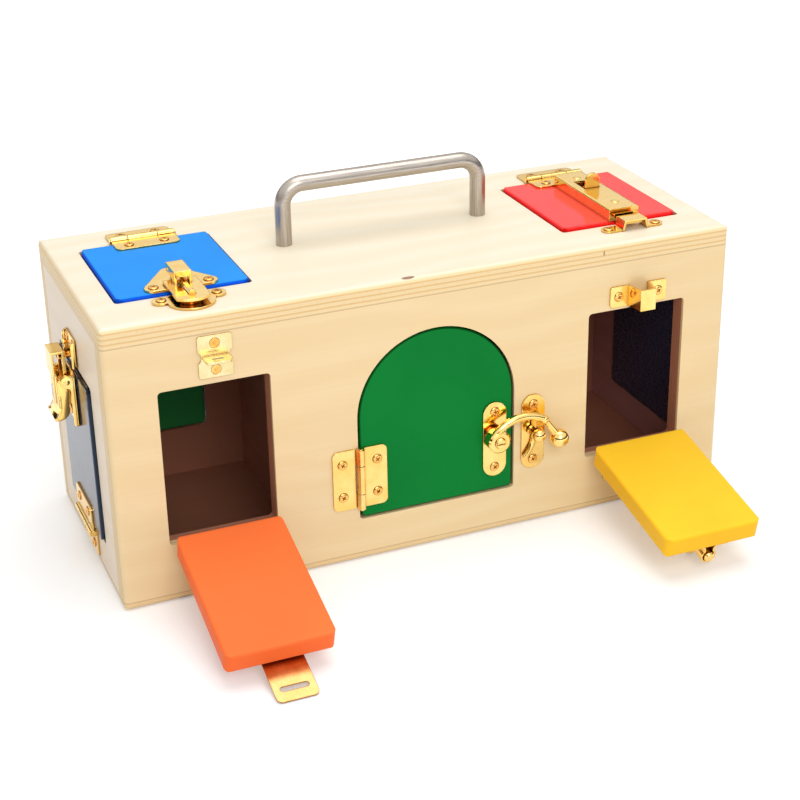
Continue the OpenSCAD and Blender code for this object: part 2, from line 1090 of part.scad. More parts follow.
// The round bolt and its knob: out is how far it is pushed past the edge
module bolt(out) {
    nose = 0.8;
    translate([0, out, 0]) {
        translate([0, -bolt_l, bolt_h])
            rotate([-90, 0, 0]) {
                cylinder(d = bolt_d, h = bolt_l - nose);
                translate([0, 0, bolt_l - nose])
                    cylinder(d1 = bolt_d, d2 = bolt_d - 2 * nose, h = nose);
            }
        translate([0, -knob_back, bolt_h])
            cylinder(d = knob_stem, h = knob_h - bolt_h);
        translate([0, -knob_back, knob_h])
            sphere(d = knob_d);
    }
}

keeper_start = 3;
keeper_screw_x = (keeper_w + bridge_w) / 4;

module keeper_screws() {
    for (x = [-1, 1])
        translate([x * keeper_screw_x, keeper_start + keeper_l / 2, 0])
            children();
}

// A strap with sloping sides over the bolt, and a flange for a screw on each side
module keeper() {
    inside = bolt_h + bolt_d / 2 + metal_gap;
    foot = bridge_w / 2;
    crown = bridge_top / 2;
    difference() {
        union() {
            translate([0, keeper_start + keeper_l / 2, 0])
                linear_extrude(bolt_plate_t)
                    rounded_rect(keeper_w, keeper_l, 2);
            translate([0, keeper_start + keeper_l, 0])
                rotate([90, 0, 0])
                    linear_extrude(keeper_l)
                        arch_of(foot, crown, inside + bolt_plate_t, 0);
        }
        translate([0, keeper_start + keeper_l + over, 0])
            rotate([90, 0, 0])
                linear_extrude(keeper_l + 2 * over)
                    arch_of(foot - bolt_plate_t, crown - bolt_plate_t, inside, over);
        keeper_screws()
            screw_hole(bolt_plate_t);
    }
}

module yellow_bolt_case() {
    color(brass)
        yellow_open_edge()
            bolt_case();
}

module yellow_bolt() {
    color(brass)
        yellow_open_edge()
            bolt(0);
}

module yellow_screws() {
    color(brass) {
        yellow_line()
            swung(yellow_angle)
                leaf_screws()
                    screw(leaf_t);
        yellow_open_edge()
            case_screws()
                screw(bolt_plate_t);
    }
}

module right_bolt_case() {
    color(brass)
        right_edge()
            bolt_case();
}

module right_bolt() {
    color(brass)
        right_edge()
            bolt(bolt_throw);
}

module right_screws() {
    color(brass) {
        right_line() leaf_screws() screw(leaf_t);
        right_edge() case_screws() screw(bolt_plate_t);
    }
}

module back_bolt_case() {
    color(brass)
        back_edge()
            bolt_case();
}

module back_bolt() {
    color(brass)
        back_edge()
            bolt(bolt_throw);
}

module back_screws() {
    color(brass) {
        back_line() leaf_screws() screw(leaf_t);
        back_edge() case_screws() screw(bolt_plate_t);
    }
}

module bolt_keepers() {
    color(brass) {
        yellow_edge() keeper();
        right_edge() keeper();
        back_edge() keeper();
    }
}

// Swing hook of the green door

hook_boss_r = 7.4;
hook_collar_r = 6;
hook_x = -hook_in - hook_shift;
hook_pivot_d = 5;
hook_boss_z = hook_plate_t + 2.8;
hook_boss_top = hook_arm_h + hook_arm_d / 2 + 0.2;
hook_screw_y = hook_plate_h / 2 - hook_plate_w / 2 + 1.5;
hook_mid = [3.2, -9.5];
post_y = 1;
post_h = hook_arm_h + 1;
finger_z = hook_plate_t + 0.8;
finger_t = 2.2;
finger_in = post_neck_d / 2 + metal_gap + 0.1;
finger_out = finger_in + 2.2;

module hook_screws(x) {
    for (s = [-1, 1])
        translate([x, s * hook_screw_y, 0])
            children();
}

module hook_plate() {
    slot = 1;
    head_h = 1.4;
    head_z = hook_boss_top + metal_gap;
    color(brass)
        green_edge()
            difference() {
                union() {
                    translate([-hook_in, 0, 0])
                        linear_extrude(hook_plate_t)
                            stadium(hook_plate_w, hook_plate_h);
                    translate([hook_x, hook_rise, 0]) {
                        cylinder(r = hook_collar_r, h = hook_boss_z - metal_gap);
                        cylinder(d = hook_pivot_d, h = head_z + head_h / 2);
                        translate([0, 0, head_z])
                            cylinder(d1 = hook_pivot_d + 2.4, d2 = hook_pivot_d + 0.8, h = head_h);
                    }
                }
                hook_screws(-hook_in)
                    screw_hole(hook_plate_t);
                translate([hook_x, hook_rise, head_z + head_h])
                    cube([2 * hook_pivot_d, slot, head_h], center = true);
            }
}

// The curved arm: an arc of round bar from its boss to over the post, then a
// thinner neck to a ball, and a finger that drops round the neck of the post
module hook_arm() {
    start = 152;
    bend = 55;
    ball_at = 12;
    finger_span = 200;
    web_w = 3.6;
    web_root = 2;
    boss_chamfer = 1.2;
    tip = hook_r * [cos(bend), sin(bend)];
    neck = (hook_r + 0.5) * [cos(ball_at), sin(ball_at)] - tip;
    neck_start_d = 0.72 * hook_arm_d;
    arc_y = hook_mid[1] + sqrt(hook_r * hook_r - pow(post_out - hook_mid[0], 2));
    finger_y = post_y + finger_out - 0.8;
    web_y = post_y + post_ball_d / 2 + metal_gap;
    color(brass)
        green_edge()
            difference() {
                union() {
                    translate([hook_mid[0], hook_mid[1], hook_arm_h]) {
                        rotate([0, 0, bend])
                            rotate_extrude(angle = start - bend, $fn = 96)
                                translate([hook_r, 0])
                                    circle(d = hook_arm_d);
                        translate([tip[0], tip[1], 0]) {
                            sphere(d = hook_arm_d + 0.8);
                            rotate([0, 90, atan2(neck[1], neck[0])])
                                cylinder(d1 = neck_start_d, d2 = hook_arm_d, h = norm(neck));
                            translate([neck[0], neck[1], 0])
                                sphere(d = hook_ball_d);
                        }
                    }
                    translate([hook_x, hook_rise, hook_boss_z])
                        cylinder(r = hook_boss_r, h = hook_boss_top - hook_boss_z - boss_chamfer);
                    translate([hook_x, hook_rise, hook_boss_top - boss_chamfer])
                        cylinder(r1 = hook_boss_r, r2 = hook_boss_r - boss_chamfer, h = boss_chamfer);
                    translate([post_out, post_y, finger_z])
                        rotate([0, 0, 90 - finger_span / 2])
                            rotate_extrude(angle = finger_span)
                                translate([finger_in, 0])
                                    square([finger_out - finger_in, finger_t]);
                    translate([post_out - web_w / 2, finger_y, finger_z])
                        cube([web_w, web_y + web_root - finger_y, finger_t]);
                    translate([post_out - web_w / 2, web_y, finger_z])
                        cube([web_w, arc_y - web_y, hook_arm_h - 0.6 - finger_z]);
                }
                translate([hook_x, hook_rise, 0])
                    cylinder(d = hook_pivot_d + 2 * run_gap, h = 3 * hook_arm_h);
            }
}

module green_screws() {
    color(brass) {
        green_line() leaf_screws() screw(leaf_t);
        green_edge() hook_screws(-hook_in) screw(hook_plate_t);
    }
}

// The post plate: a necked ball, with a curved rib that braces it from below
module hook_post() {
    rib_r = 20;
    rib_d = 3.4;
    rib_span = 48;
    rib_z = hook_plate_t + 1.2;
    color(brass)
        green_edge()
            difference() {
                union() {
                    translate([post_out, 0, 0])
                        linear_extrude(hook_plate_t)
                            stadium(hook_plate_w, hook_plate_h);
                    translate([post_out, post_y, 0]) {
                        cylinder(d = post_neck_d, h = post_h);
                        translate([0, 0, post_h])
                            sphere(d = post_ball_d);
                    }
                    translate([post_out - rib_r, post_y - 2, rib_z])
                        rotate([0, 0, -rib_span])
                            rotate_extrude(angle = rib_span, $fn = 96)
                                translate([rib_r, 0])
                                    circle(d = rib_d);
                }
                hook_screws(post_out)
                    screw_hole(hook_plate_t);
            }
}

// Clasp of the blue lid

flap_z = lid_proud + clasp_t + metal_gap;
flap_pin = 2;
flap_cheek_r = 1.7;
flap_root = 9.5;
flap_end_r = 14;
hood_t = 1.3;
hood_front = -0.2;
hood_top = flap_z + clasp_t + hood_h;
flap_pin_z = hood_top - hood_t - metal_gap - flap_cheek_r;
plate_front = -0.4;
plate_ear_y = plate_front - clasp_ear_r;
plate_y = -27;
plate_r = 7;
catch_ear_y = 10.2;
catch_r = 14;
catch_y = 15.2;
catch_start = 1.8;
catch_pad_r = 6;

module plate_screws() {
    for (x = [-1, 1])
        translate([x * clasp_ear_x, plate_ear_y, lid_proud])
            children();
}

module catch_screws() {
    for (x = [-1, 1])
        translate([x * clasp_ear_x, catch_ear_y, 0])
            children();
}

module ears(y) {
    for (x = [-1, 1])
        translate([x * clasp_ear_x, y])
            circle(clasp_ear_r);
}

// The lid's plate: two ears whose flanks run straight to a round top
module bell_shape() {
    run = [clasp_ear_x, plate_ear_y - plate_y];
    lean = acos((plate_r - clasp_ear_r) / norm(run)) - atan2(run[1], run[0]);
    out = [cos(lean), -sin(lean)];
    high = [0, plate_y] + plate_r * out;
    wide = [clasp_ear_x, plate_ear_y] + clasp_ear_r * out;
    ears(plate_ear_y);
    translate([0, plate_y])
        circle(plate_r);
    polygon([
        [-high[0], high[1]], high, wide, [clasp_ear_x, plate_front],
        [-clasp_ear_x, plate_front], [-wide[0], wide[1]]
    ]);
}

// The plate, with two cheeks that hold the flap's pin inside the hood
module clasp_plate() {
    cheek_x = hood_w / 2 - hood_t - metal_gap - clasp_t / 2;
    color(brass)
        blue_edge()
            difference() {
                union() {
                    translate([0, 0, lid_proud])
                        linear_extrude(clasp_t)
                            bell_shape();
                    for (s = [-1, 1])
                        translate([s * cheek_x, -flap_back, 0]) {
                            translate([-clasp_t / 2, -flap_cheek_r, lid_proud])
                                cube([clasp_t, 2 * flap_cheek_r, flap_pin_z - lid_proud]);
                            translate([0, 0, flap_pin_z])
                                rotate([0, 90, 0])
                                    cylinder(r = flap_cheek_r, h = clasp_t, center = true);
                        }
                    translate([0, -flap_back, flap_pin_z])
                        rotate([0, 90, 0])
                            cylinder(d = flap_pin, h = hood_w + 1, center = true);
                }
                plate_screws()
                    screw_hole(clasp_t);
            }
}

// The flap's hood: closed above and open below a lip in front, on two short legs
module flap_hood() {
    inside_w = hood_w - 2 * hood_t;
    low = flap_z + clasp_t;
    mouth_h = 4.2;
    leg = 6;
    side_low = flap_pin_z - 2;
    back = hood_front - hood_l;
    difference() {
        translate([-hood_w / 2, back, low - clasp_t / 2])
            cube([hood_w, hood_l, hood_h + clasp_t / 2]);
        translate([-inside_w / 2, back - over, low])
            cube([inside_w, hood_l - hood_t + over, hood_h - hood_t]);
        translate([-inside_w / 2, hood_front - 2 * hood_t, low])
            cube([inside_w, 3 * hood_t, mouth_h]);
        translate([-hood_w, back - over, flap_z - over])
            cube([2 * hood_w, hood_l - leg + over, side_low - flap_z + over]);
    }
}

// The flap: a round-fronted strap with a rib, hung from its hood
module clasp_flap() {
    end_y = flap_reach - flap_end_r;
    rib_end = 18;
    rib_h = 2.4;
    color(brass)
        blue_edge()
            difference() {
                union() {
                    translate([0, 0, flap_z])
                        linear_extrude(clasp_t) {
                            intersection() {
                                translate([0, end_y])
                                    circle(flap_end_r);
                                translate([-flap_w / 2, 0])
                                    square([flap_w, flap_reach]);
                            }
                            translate([-flap_w / 2, -flap_root])
                                square([flap_w, flap_root + end_y]);
                        }
                    flap_hood();
                    translate([0, rib_end, flap_z + clasp_t])
                        rotate([90, 0, 0])
                            linear_extrude(rib_end - hood_front - 0.5)
                                arch_of(rib_h, rib_h / 2, rib_h, clasp_t / 2);
                }
                translate([0, -flap_back, flap_pin_z])
                    rotate([0, 90, 0])
                        cylinder(d = flap_pin + 2 * run_gap, h = 2 * hood_w, center = true);
            }
}

module blue_screws() {
    color(brass) {
        blue_line()
            translate([0, 0, lid_proud])
                leaf_screws()
                    screw(leaf_t);
        blue_edge()
            plate_screws()
                screw(clasp_t);
    }
}

// The catch plate: a disc with ears, and a pad that the flap rests over
module clasp_catch() {
    pad_room = 0.3;
    bar = 1.5 * clasp_ear_r;
    color(brass)
        blue_edge()
            difference() {
                union() {
                    linear_extrude(clasp_t) {
                        ears(catch_ear_y);
                        translate([-clasp_ear_x, catch_ear_y - bar / 2])
                            square([2 * clasp_ear_x, bar]);
                        intersection() {
                            translate([0, catch_y])
                                circle(catch_r);
                            translate([-catch_r, catch_start])
                                square(2 * catch_r);
                        }
                    }
                    translate([0, catch_y - catch_pad_r / 2, 0])
                        cylinder(r = catch_pad_r, h = flap_z - pad_room);
                }
                catch_screws()
                    screw_hole(clasp_t);
            }
}

// Slide bolt of the red lid

slide_room = 0.3;
slide_z = lid_proud + case_t + screw_proud + slide_room;
slide_out = slide_throw - 1.4;
slide_back = case_back + case_l - case_t - 2 * metal_gap - slide_throw;
thumb_t = 1.6;
case_base = lid_proud;
slide_keeper_start = 5;
slide_ear_d = 9;
slide_keeper_screw_x = (slide_keeper_w - slide_ear_d) / 2;

// Two screws through the floor of the case, under the bolt
module slide_screws() {
    for (y = [-case_back - 2 * screw_head, -case_back - case_l + 2 * screw_head])
        translate([0, y, case_base])
            children();
}

module slide_keeper_screws() {
    for (x = [-1, 1])
        translate([x * slide_keeper_screw_x, slide_keeper_start + slide_keeper_l / 2, 0])
            children();
}

// A folded sheet case with a mouth for the bolt, a slot for the thumb tab and
// a low rivet over each screw
module slide_case() {
    fold_r = 1.4;
    mouth_w = slide_w + 2 * metal_gap;
    mouth_h = slide_z + slide_t + 2 * metal_gap - case_base - case_t;
    inside_w = case_w - 2 * case_t;
    inside_h = case_h - 2 * case_t;
    slot_w = thumb_w + 3 * metal_gap;
    slot_l = slide_throw + thumb_t + 2 * metal_gap;
    rivet_d = 5;
    rivet_h = 0.5;
    color(brass)
        red_edge()
            difference() {
                union() {
                    translate([0, -case_back, case_base])
                        rotate([90, 0, 0])
                            linear_extrude(case_l) {
                                translate([0, case_h / 2])
                                    rounded_rect(case_w, case_h, fold_r);
                                translate([-case_w / 2, 0])
                                    square([case_w, case_h / 2]);
                            }
                    slide_screws()
                        translate([0, 0, case_h])
                            cylinder(d1 = rivet_d, d2 = rivet_d - 1, h = rivet_h);
                }
                translate([-inside_w / 2, case_t - case_back - case_l, case_base + case_t])
                    cube([inside_w, case_l - 2 * case_t, inside_h]);
                translate([-mouth_w / 2, -case_back - 2 * case_t, case_base + case_t])
                    cube([mouth_w, 3 * case_t, mouth_h]);
                translate([-slot_w / 2, thumb_t / 2 + metal_gap - thumb_back - slot_l, case_base + case_h / 2])
                    cube([slot_w, slot_l, case_h]);
                slide_screws()
                    screw_hole(case_t);
            }
}

// The flat bolt, pushed home, with a round-topped thumb tab that stands through the slot
module slide_bolt() {
    thumb_top = case_base + case_h + thumb_h;
    color(brass)
        red_edge() {
            translate([-slide_w / 2, -slide_back, slide_z])
                cube([slide_w, slide_back + slide_out, slide_t]);
            translate([0, -thumb_back + thumb_t / 2, 0])
                rotate([90, 0, 0])
                    linear_extrude(thumb_t) {
                        translate([-thumb_w / 2, slide_z + slide_t / 2])
                            square([thumb_w, thumb_top - thumb_w / 2 - slide_z - slide_t / 2]);
                        translate([0, thumb_top - thumb_w / 2])
                            circle(d = thumb_w);
                    }
        }
}

module red_screws() {
    color(brass) {
        red_line()
            translate([0, 0, lid_proud])
                leaf_screws()
                    screw(leaf_t);
        red_edge()
            slide_screws()
                screw(case_t);
    }
}

// A low bridge with sloping sides for the bolt, with a round ear for a screw on each side
module slide_keeper() {
    splay = 1.6;
    inside = slide_w / 2 + metal_gap;
    inside_h = slide_z + slide_t + metal_gap;
    outside = inside + case_t;
    color(brass)
        red_edge()
            difference() {
                union() {
                    translate([0, slide_keeper_start + slide_keeper_l / 2, 0])
                        linear_extrude(case_t)
                            rotate([0, 0, 90])
                                stadium(slide_ear_d, slide_keeper_w);
                    translate([0, slide_keeper_start + slide_keeper_l, 0])
                        rotate([90, 0, 0])
                            linear_extrude(slide_keeper_l)
                                arch_of(outside + splay, outside, inside_h + case_t, 0);
                }
                translate([0, slide_keeper_start + slide_keeper_l + over, 0])
                    rotate([90, 0, 0])
                        linear_extrude(slide_keeper_l + 2 * over)
                            arch_of(inside + splay, inside, inside_h, over);
                slide_keeper_screws()
                    screw_hole(case_t);
            }
}

// Draw latch of the left door

draw_pin = 3;
cheek_r = 3.9;
cheek_in = draw_w / 2 - draw_t;
lever_wall_out = cheek_in - metal_gap;
lever_wall_in = lever_wall_out - draw_t;
claw_bar_out = lever_wall_in - 1.2;
claw_bar_w = 2;
claw_pin = 2.4;
claw_z = lever_pivot_h - 0.3;
claw_y = -lever_down - claw_crank;
draw_base_start = -1.5;
draw_keeper_start = 2;
ledge_y = 7.5;
lip_z = 7.3;
lip_room = 1.3;
claw_lip_z = lip_z - lip_room - draw_t;
claw_top = lip_up + metal_gap;
claw_front = lever_h + metal_gap + draw_t;
claw_hang = 2.5;
draw_screw_x = 5;
draw_screw_y = 5;
keeper_hold_x = 7.5;
keeper_hold_y = 3.6;

// Extrudes a side view, drawn in outward and upward distance, across the latch
module side_view(x0, x1) {
    translate([x1, 0, 0])
        rotate([0, -90, 0])
            linear_extrude(x1 - x0)
                children();
}

module draw_screws() {
    for (x = [-1, 1])
        translate([x * draw_screw_x, draw_base_start - draw_base_l + draw_screw_y, 0])
            children();
}

module draw_keeper_screws() {
    for (x = [-1, 1])
        translate([x * keeper_hold_x, draw_keeper_start + draw_keeper_l - keeper_hold_y, 0])
            children();
}

// The base: a plate with two round cheeks, each with a stub pin for the lever
module draw_base() {
    stub_in = lever_wall_in - 0.4;
    color(brass)
        left_door_edge()
            difference() {
                union() {
                    translate([0, draw_base_start - draw_base_l / 2, 0])
                        linear_extrude(draw_t)
                            rounded_rect(draw_w, draw_base_l, 2);
                    for (side = [0, 1])
                        mirror([side, 0, 0]) {
                            side_view(cheek_in, draw_w / 2) {
                                translate([lever_pivot_h, -lever_down])
                                    circle(cheek_r);
                                translate([0, -lever_down - cheek_r])
                                    square([lever_pivot_h, 2 * cheek_r]);
                            }
                            side_view(stub_in, draw_w / 2)
                                translate([lever_pivot_h, -lever_down])
                                    circle(d = draw_pin);
                        }
                }
                draw_screws()
                    screw_hole(draw_t);
            }
}

// The lever: two side walls, a face with a tongue between the claw's bars, a
// slanted lip for the finger, and stub pins for the claw
module draw_lever() {
    face_start = claw_y - 3.5;
    foot = -lever_down - lever_l;
    tongue = claw_bar_out - claw_bar_w - metal_gap;
    tongue_top = -claw_hang - 2 * metal_gap;
    lip_out = 4.6;
    lip_rise = 4.4;
    wall_low = 2.2;
    wall_rise = 2.6;
    pin_wall = 3;
    slim = 3.4;
    neck = 3;
    color(brass)
        left_door_edge()
            difference() {
                union() {
                    for (side = [0, 1])
                        mirror([side, 0, 0]) {
                            side_view(lever_wall_in, lever_wall_out) {
                                translate([lever_pivot_h, -lever_down])
                                    circle(cheek_r);
                                polygon([
                                    [lever_pivot_h, -lever_down + wall_rise],
                                    [lever_h, -lever_down + wall_rise],
                                    [lever_h, foot],
                                    [lever_h - draw_t, foot],
                                    [lever_h - slim, claw_y - 2 * pin_wall],
                                    [wall_low, claw_y - pin_wall],
                                    [wall_low, claw_y],
                                    [lever_pivot_h - neck, -lever_down]
                                ]);
                            }
                            side_view(tongue, lever_wall_out)
                                translate([claw_z, claw_y])
                                    circle(d = claw_pin);
                        }
                    side_view(-lever_wall_out, lever_wall_out) {
                        translate([lever_h - draw_t, foot])
                            square([draw_t, face_start - foot]);
                        polygon([
                            [lever_h - draw_t, foot],
                            [lever_h - draw_t, foot - draw_t],
                            [lever_h, foot - 1.6 * draw_t],
                            [lever_h + lip_out, foot + lip_rise - draw_t],
                            [lever_h + lip_out - draw_t, foot + lip_rise],
                            [lever_h, foot]
                        ]);
                    }
                    side_view(-tongue, tongue)
                        translate([lever_h - draw_t, face_start - over])
                            square([draw_t, tongue_top - face_start + over]);
                }
                side_view(-draw_w, draw_w)
                    translate([lever_pivot_h, -lever_down])
                        circle(d = draw_pin + 2 * run_gap);
            }
}

// The claw: two bars on the lever's stub pins, a cap that hooks behind the
// keeper's lip, and a front plate that hangs from the cap
module draw_claw() {
    bar_half = claw_bar_w / 2;
    eye_wall = 1.2;
    color(brass)
        left_door_edge()
            difference() {
                union() {
                    for (side = [0, 1])
                        mirror([side, 0, 0])
                            side_view(claw_bar_out - claw_bar_w, claw_bar_out) {
                                translate([claw_z, claw_y])
                                    circle(claw_pin / 2 + eye_wall);
                                translate([claw_z - bar_half, claw_y])
                                    square([2 * bar_half, claw_top - claw_y]);
                            }
                    side_view(-claw_bar_out, claw_bar_out) {
                        translate([claw_lip_z, claw_top])
                            square([claw_front - claw_lip_z, draw_t]);
                        translate([claw_lip_z, ledge_y + draw_t + metal_gap])
                            square([draw_t, claw_top - ledge_y - draw_t]);
                        translate([claw_front - draw_t, -claw_hang])
                            square([draw_t, claw_top + claw_hang + draw_t]);
                    }
                }
                side_view(-draw_w, draw_w)
                    translate([claw_z, claw_y])
                        circle(d = claw_pin + 2 * run_gap);
            }
}

module left_screws() {
    color(brass) {
        left_line() translate([0, 0, left_proud]) leaf_screws() screw(leaf_t);
        left_door_edge() draw_screws() screw(draw_t);
    }
}

// The keeper: a plate with a ledge bent out of it and a lip turned up
module draw_keeper() {
    hook_w = 2 * (claw_bar_out - claw_bar_w - metal_gap);
    color(brass)
        left_edge()
            difference() {
                union() {
                    translate([0, draw_keeper_start + draw_keeper_l / 2, 0])
                        linear_extrude(draw_t)
                            rounded_rect(draw_w, draw_keeper_l, 2);
                    side_view(-hook_w / 2, hook_w / 2) {
                        translate([0, ledge_y])
                            square([left_proud + lip_z + draw_t, draw_t]);
                        translate([left_proud + lip_z, ledge_y])
                            square([draw_t, lip_up - ledge_y]);
                    }
                }
                draw_keeper_screws()
                    screw_hole(draw_t);
            }
}

front_panel();
back_panel();
left_panel();
right_panel();
top_panel();
bottom_panel();
partitions();
handle();
handle_screws();
hinge_fixed_leaves();
hinge_pins();
box_screws();
orange_door();
orange_leaf();
hasp_plate();
hasp_strap();
orange_screws();
staple_plate();
yellow_door();
yellow_leaf();
yellow_bolt_case();
yellow_bolt();
yellow_screws();
bolt_keepers();
green_door();
green_leaf();
hook_plate();
hook_arm();
green_screws();
hook_post();
blue_lid();
blue_leaf();
clasp_plate();
clasp_flap();
blue_screws();
clasp_catch();
red_lid();
red_leaf();
slide_case();
slide_bolt();
red_screws();
slide_keeper();
left_door();
left_leaf();
draw_base();
draw_lever();
draw_claw();
left_screws();
draw_keeper();
right_door();
right_leaf();
right_bolt_case();
right_bolt();
right_screws();
back_door();
back_leaf();
back_bolt_case();
back_bolt();
back_screws();
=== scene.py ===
# Wooden lock box toy: a birch plywood box with eight painted doors, each on a
# brass hinge and most with a different brass lock. Metres, in the CAD frame.
import json
import math
import random

import bmesh
import bpy
import numpy as np
from mathutils import Matrix, Vector

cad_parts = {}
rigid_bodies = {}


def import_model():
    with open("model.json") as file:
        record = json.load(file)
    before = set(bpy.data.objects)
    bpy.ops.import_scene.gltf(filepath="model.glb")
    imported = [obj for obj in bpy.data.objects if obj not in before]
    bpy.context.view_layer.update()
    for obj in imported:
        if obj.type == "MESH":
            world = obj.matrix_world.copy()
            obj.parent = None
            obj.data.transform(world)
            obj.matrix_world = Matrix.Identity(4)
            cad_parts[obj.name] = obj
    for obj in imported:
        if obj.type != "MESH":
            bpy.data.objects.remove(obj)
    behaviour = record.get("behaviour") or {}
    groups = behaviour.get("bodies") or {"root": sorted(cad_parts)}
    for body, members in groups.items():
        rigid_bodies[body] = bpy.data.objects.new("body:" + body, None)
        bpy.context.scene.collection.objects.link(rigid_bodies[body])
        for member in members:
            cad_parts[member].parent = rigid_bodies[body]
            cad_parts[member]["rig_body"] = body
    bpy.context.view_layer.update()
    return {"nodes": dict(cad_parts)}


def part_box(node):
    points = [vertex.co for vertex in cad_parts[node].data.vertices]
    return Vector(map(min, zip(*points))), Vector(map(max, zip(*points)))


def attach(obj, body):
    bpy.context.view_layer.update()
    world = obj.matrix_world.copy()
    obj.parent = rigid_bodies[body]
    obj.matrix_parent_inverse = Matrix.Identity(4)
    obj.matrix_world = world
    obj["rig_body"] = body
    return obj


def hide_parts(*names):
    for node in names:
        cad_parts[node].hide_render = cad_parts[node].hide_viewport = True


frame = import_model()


# Box walls
# The box is six boards and two partitions of birch plywood, glued and pinned at
# the corners, sanded round outside and given a thin satin lacquer. A dark brown
# painted shade covers the reveals and the inside, and the plies show as stripes on every cut edge.
half_length, half_depth, height, board, bottom = 0.200, 0.080, 0.180, 0.012, 0.005
# how far in from the outer faces the painted shade inside starts and is full, and the lip kept clear on floors
inside_shade_starts, inside_shade_full, lip = 0.0013, 0.0030, 0.0040


def add(tree, kind, inputs=None, **options):
    """A shader node of a kind, with its inputs set or linked."""
    made = tree.nodes.new("ShaderNode" + kind)
    for name, value in options.items():
        setattr(made, name, value)
    for socket, value in (inputs or {}).items():
        if isinstance(value, bpy.types.NodeSocket):
            tree.links.new(value, made.inputs[socket])
        else:
            made.inputs[socket].default_value = value
    return made


def reckon(tree, kind, a, b=0.0, c=0.0):
    return add(tree, "Math", {0: a, 1: b, 2: c}, operation=kind).outputs[0]


def ramp(tree, factor, low, high, start=0.0, end=1.0):
    """A smooth step of a factor, from start at low to end at high."""
    return add(tree, "MapRange", {0: factor, 1: low, 2: high, 3: start, 4: end},
               interpolation_type="SMOOTHSTEP").outputs[0]


def blend_colour(tree, factor, a, b, way="MIX"):
    made = add(tree, "Mix", {0: factor}, data_type="RGBA", blend_type=way)
    for socket, value in ((6, a), (7, b)):
        if isinstance(value, bpy.types.NodeSocket):
            tree.links.new(value, made.inputs[socket])
        else:
            made.inputs[socket].default_value = (*value, 1.0)
    return made.outputs[2]


def grain_noise(tree, vector, scale, detail=3.0, rough=0.55, offset=(0.0, 0.0, 0.0)):
    placed = add(tree, "Mapping", {"Vector": vector, "Scale": scale, "Location": offset})
    return add(tree, "TexNoise", {"Vector": placed.outputs[0], "Scale": 1.0,
                                  "Detail": detail, "Roughness": rough}).outputs[0]


def tinted(tone, *parts):
    return tuple(min(1.0, c * k) for c, k in zip(tone, parts))


def new_finish(name):
    finish = bpy.data.materials.new(name)
    finish.use_nodes = True
    tree = finish.node_tree
    return finish, tree, tree.nodes["Principled BSDF"]


def wear(obj, finish):
    obj.data.materials.clear()
    obj.data.materials.append(finish)


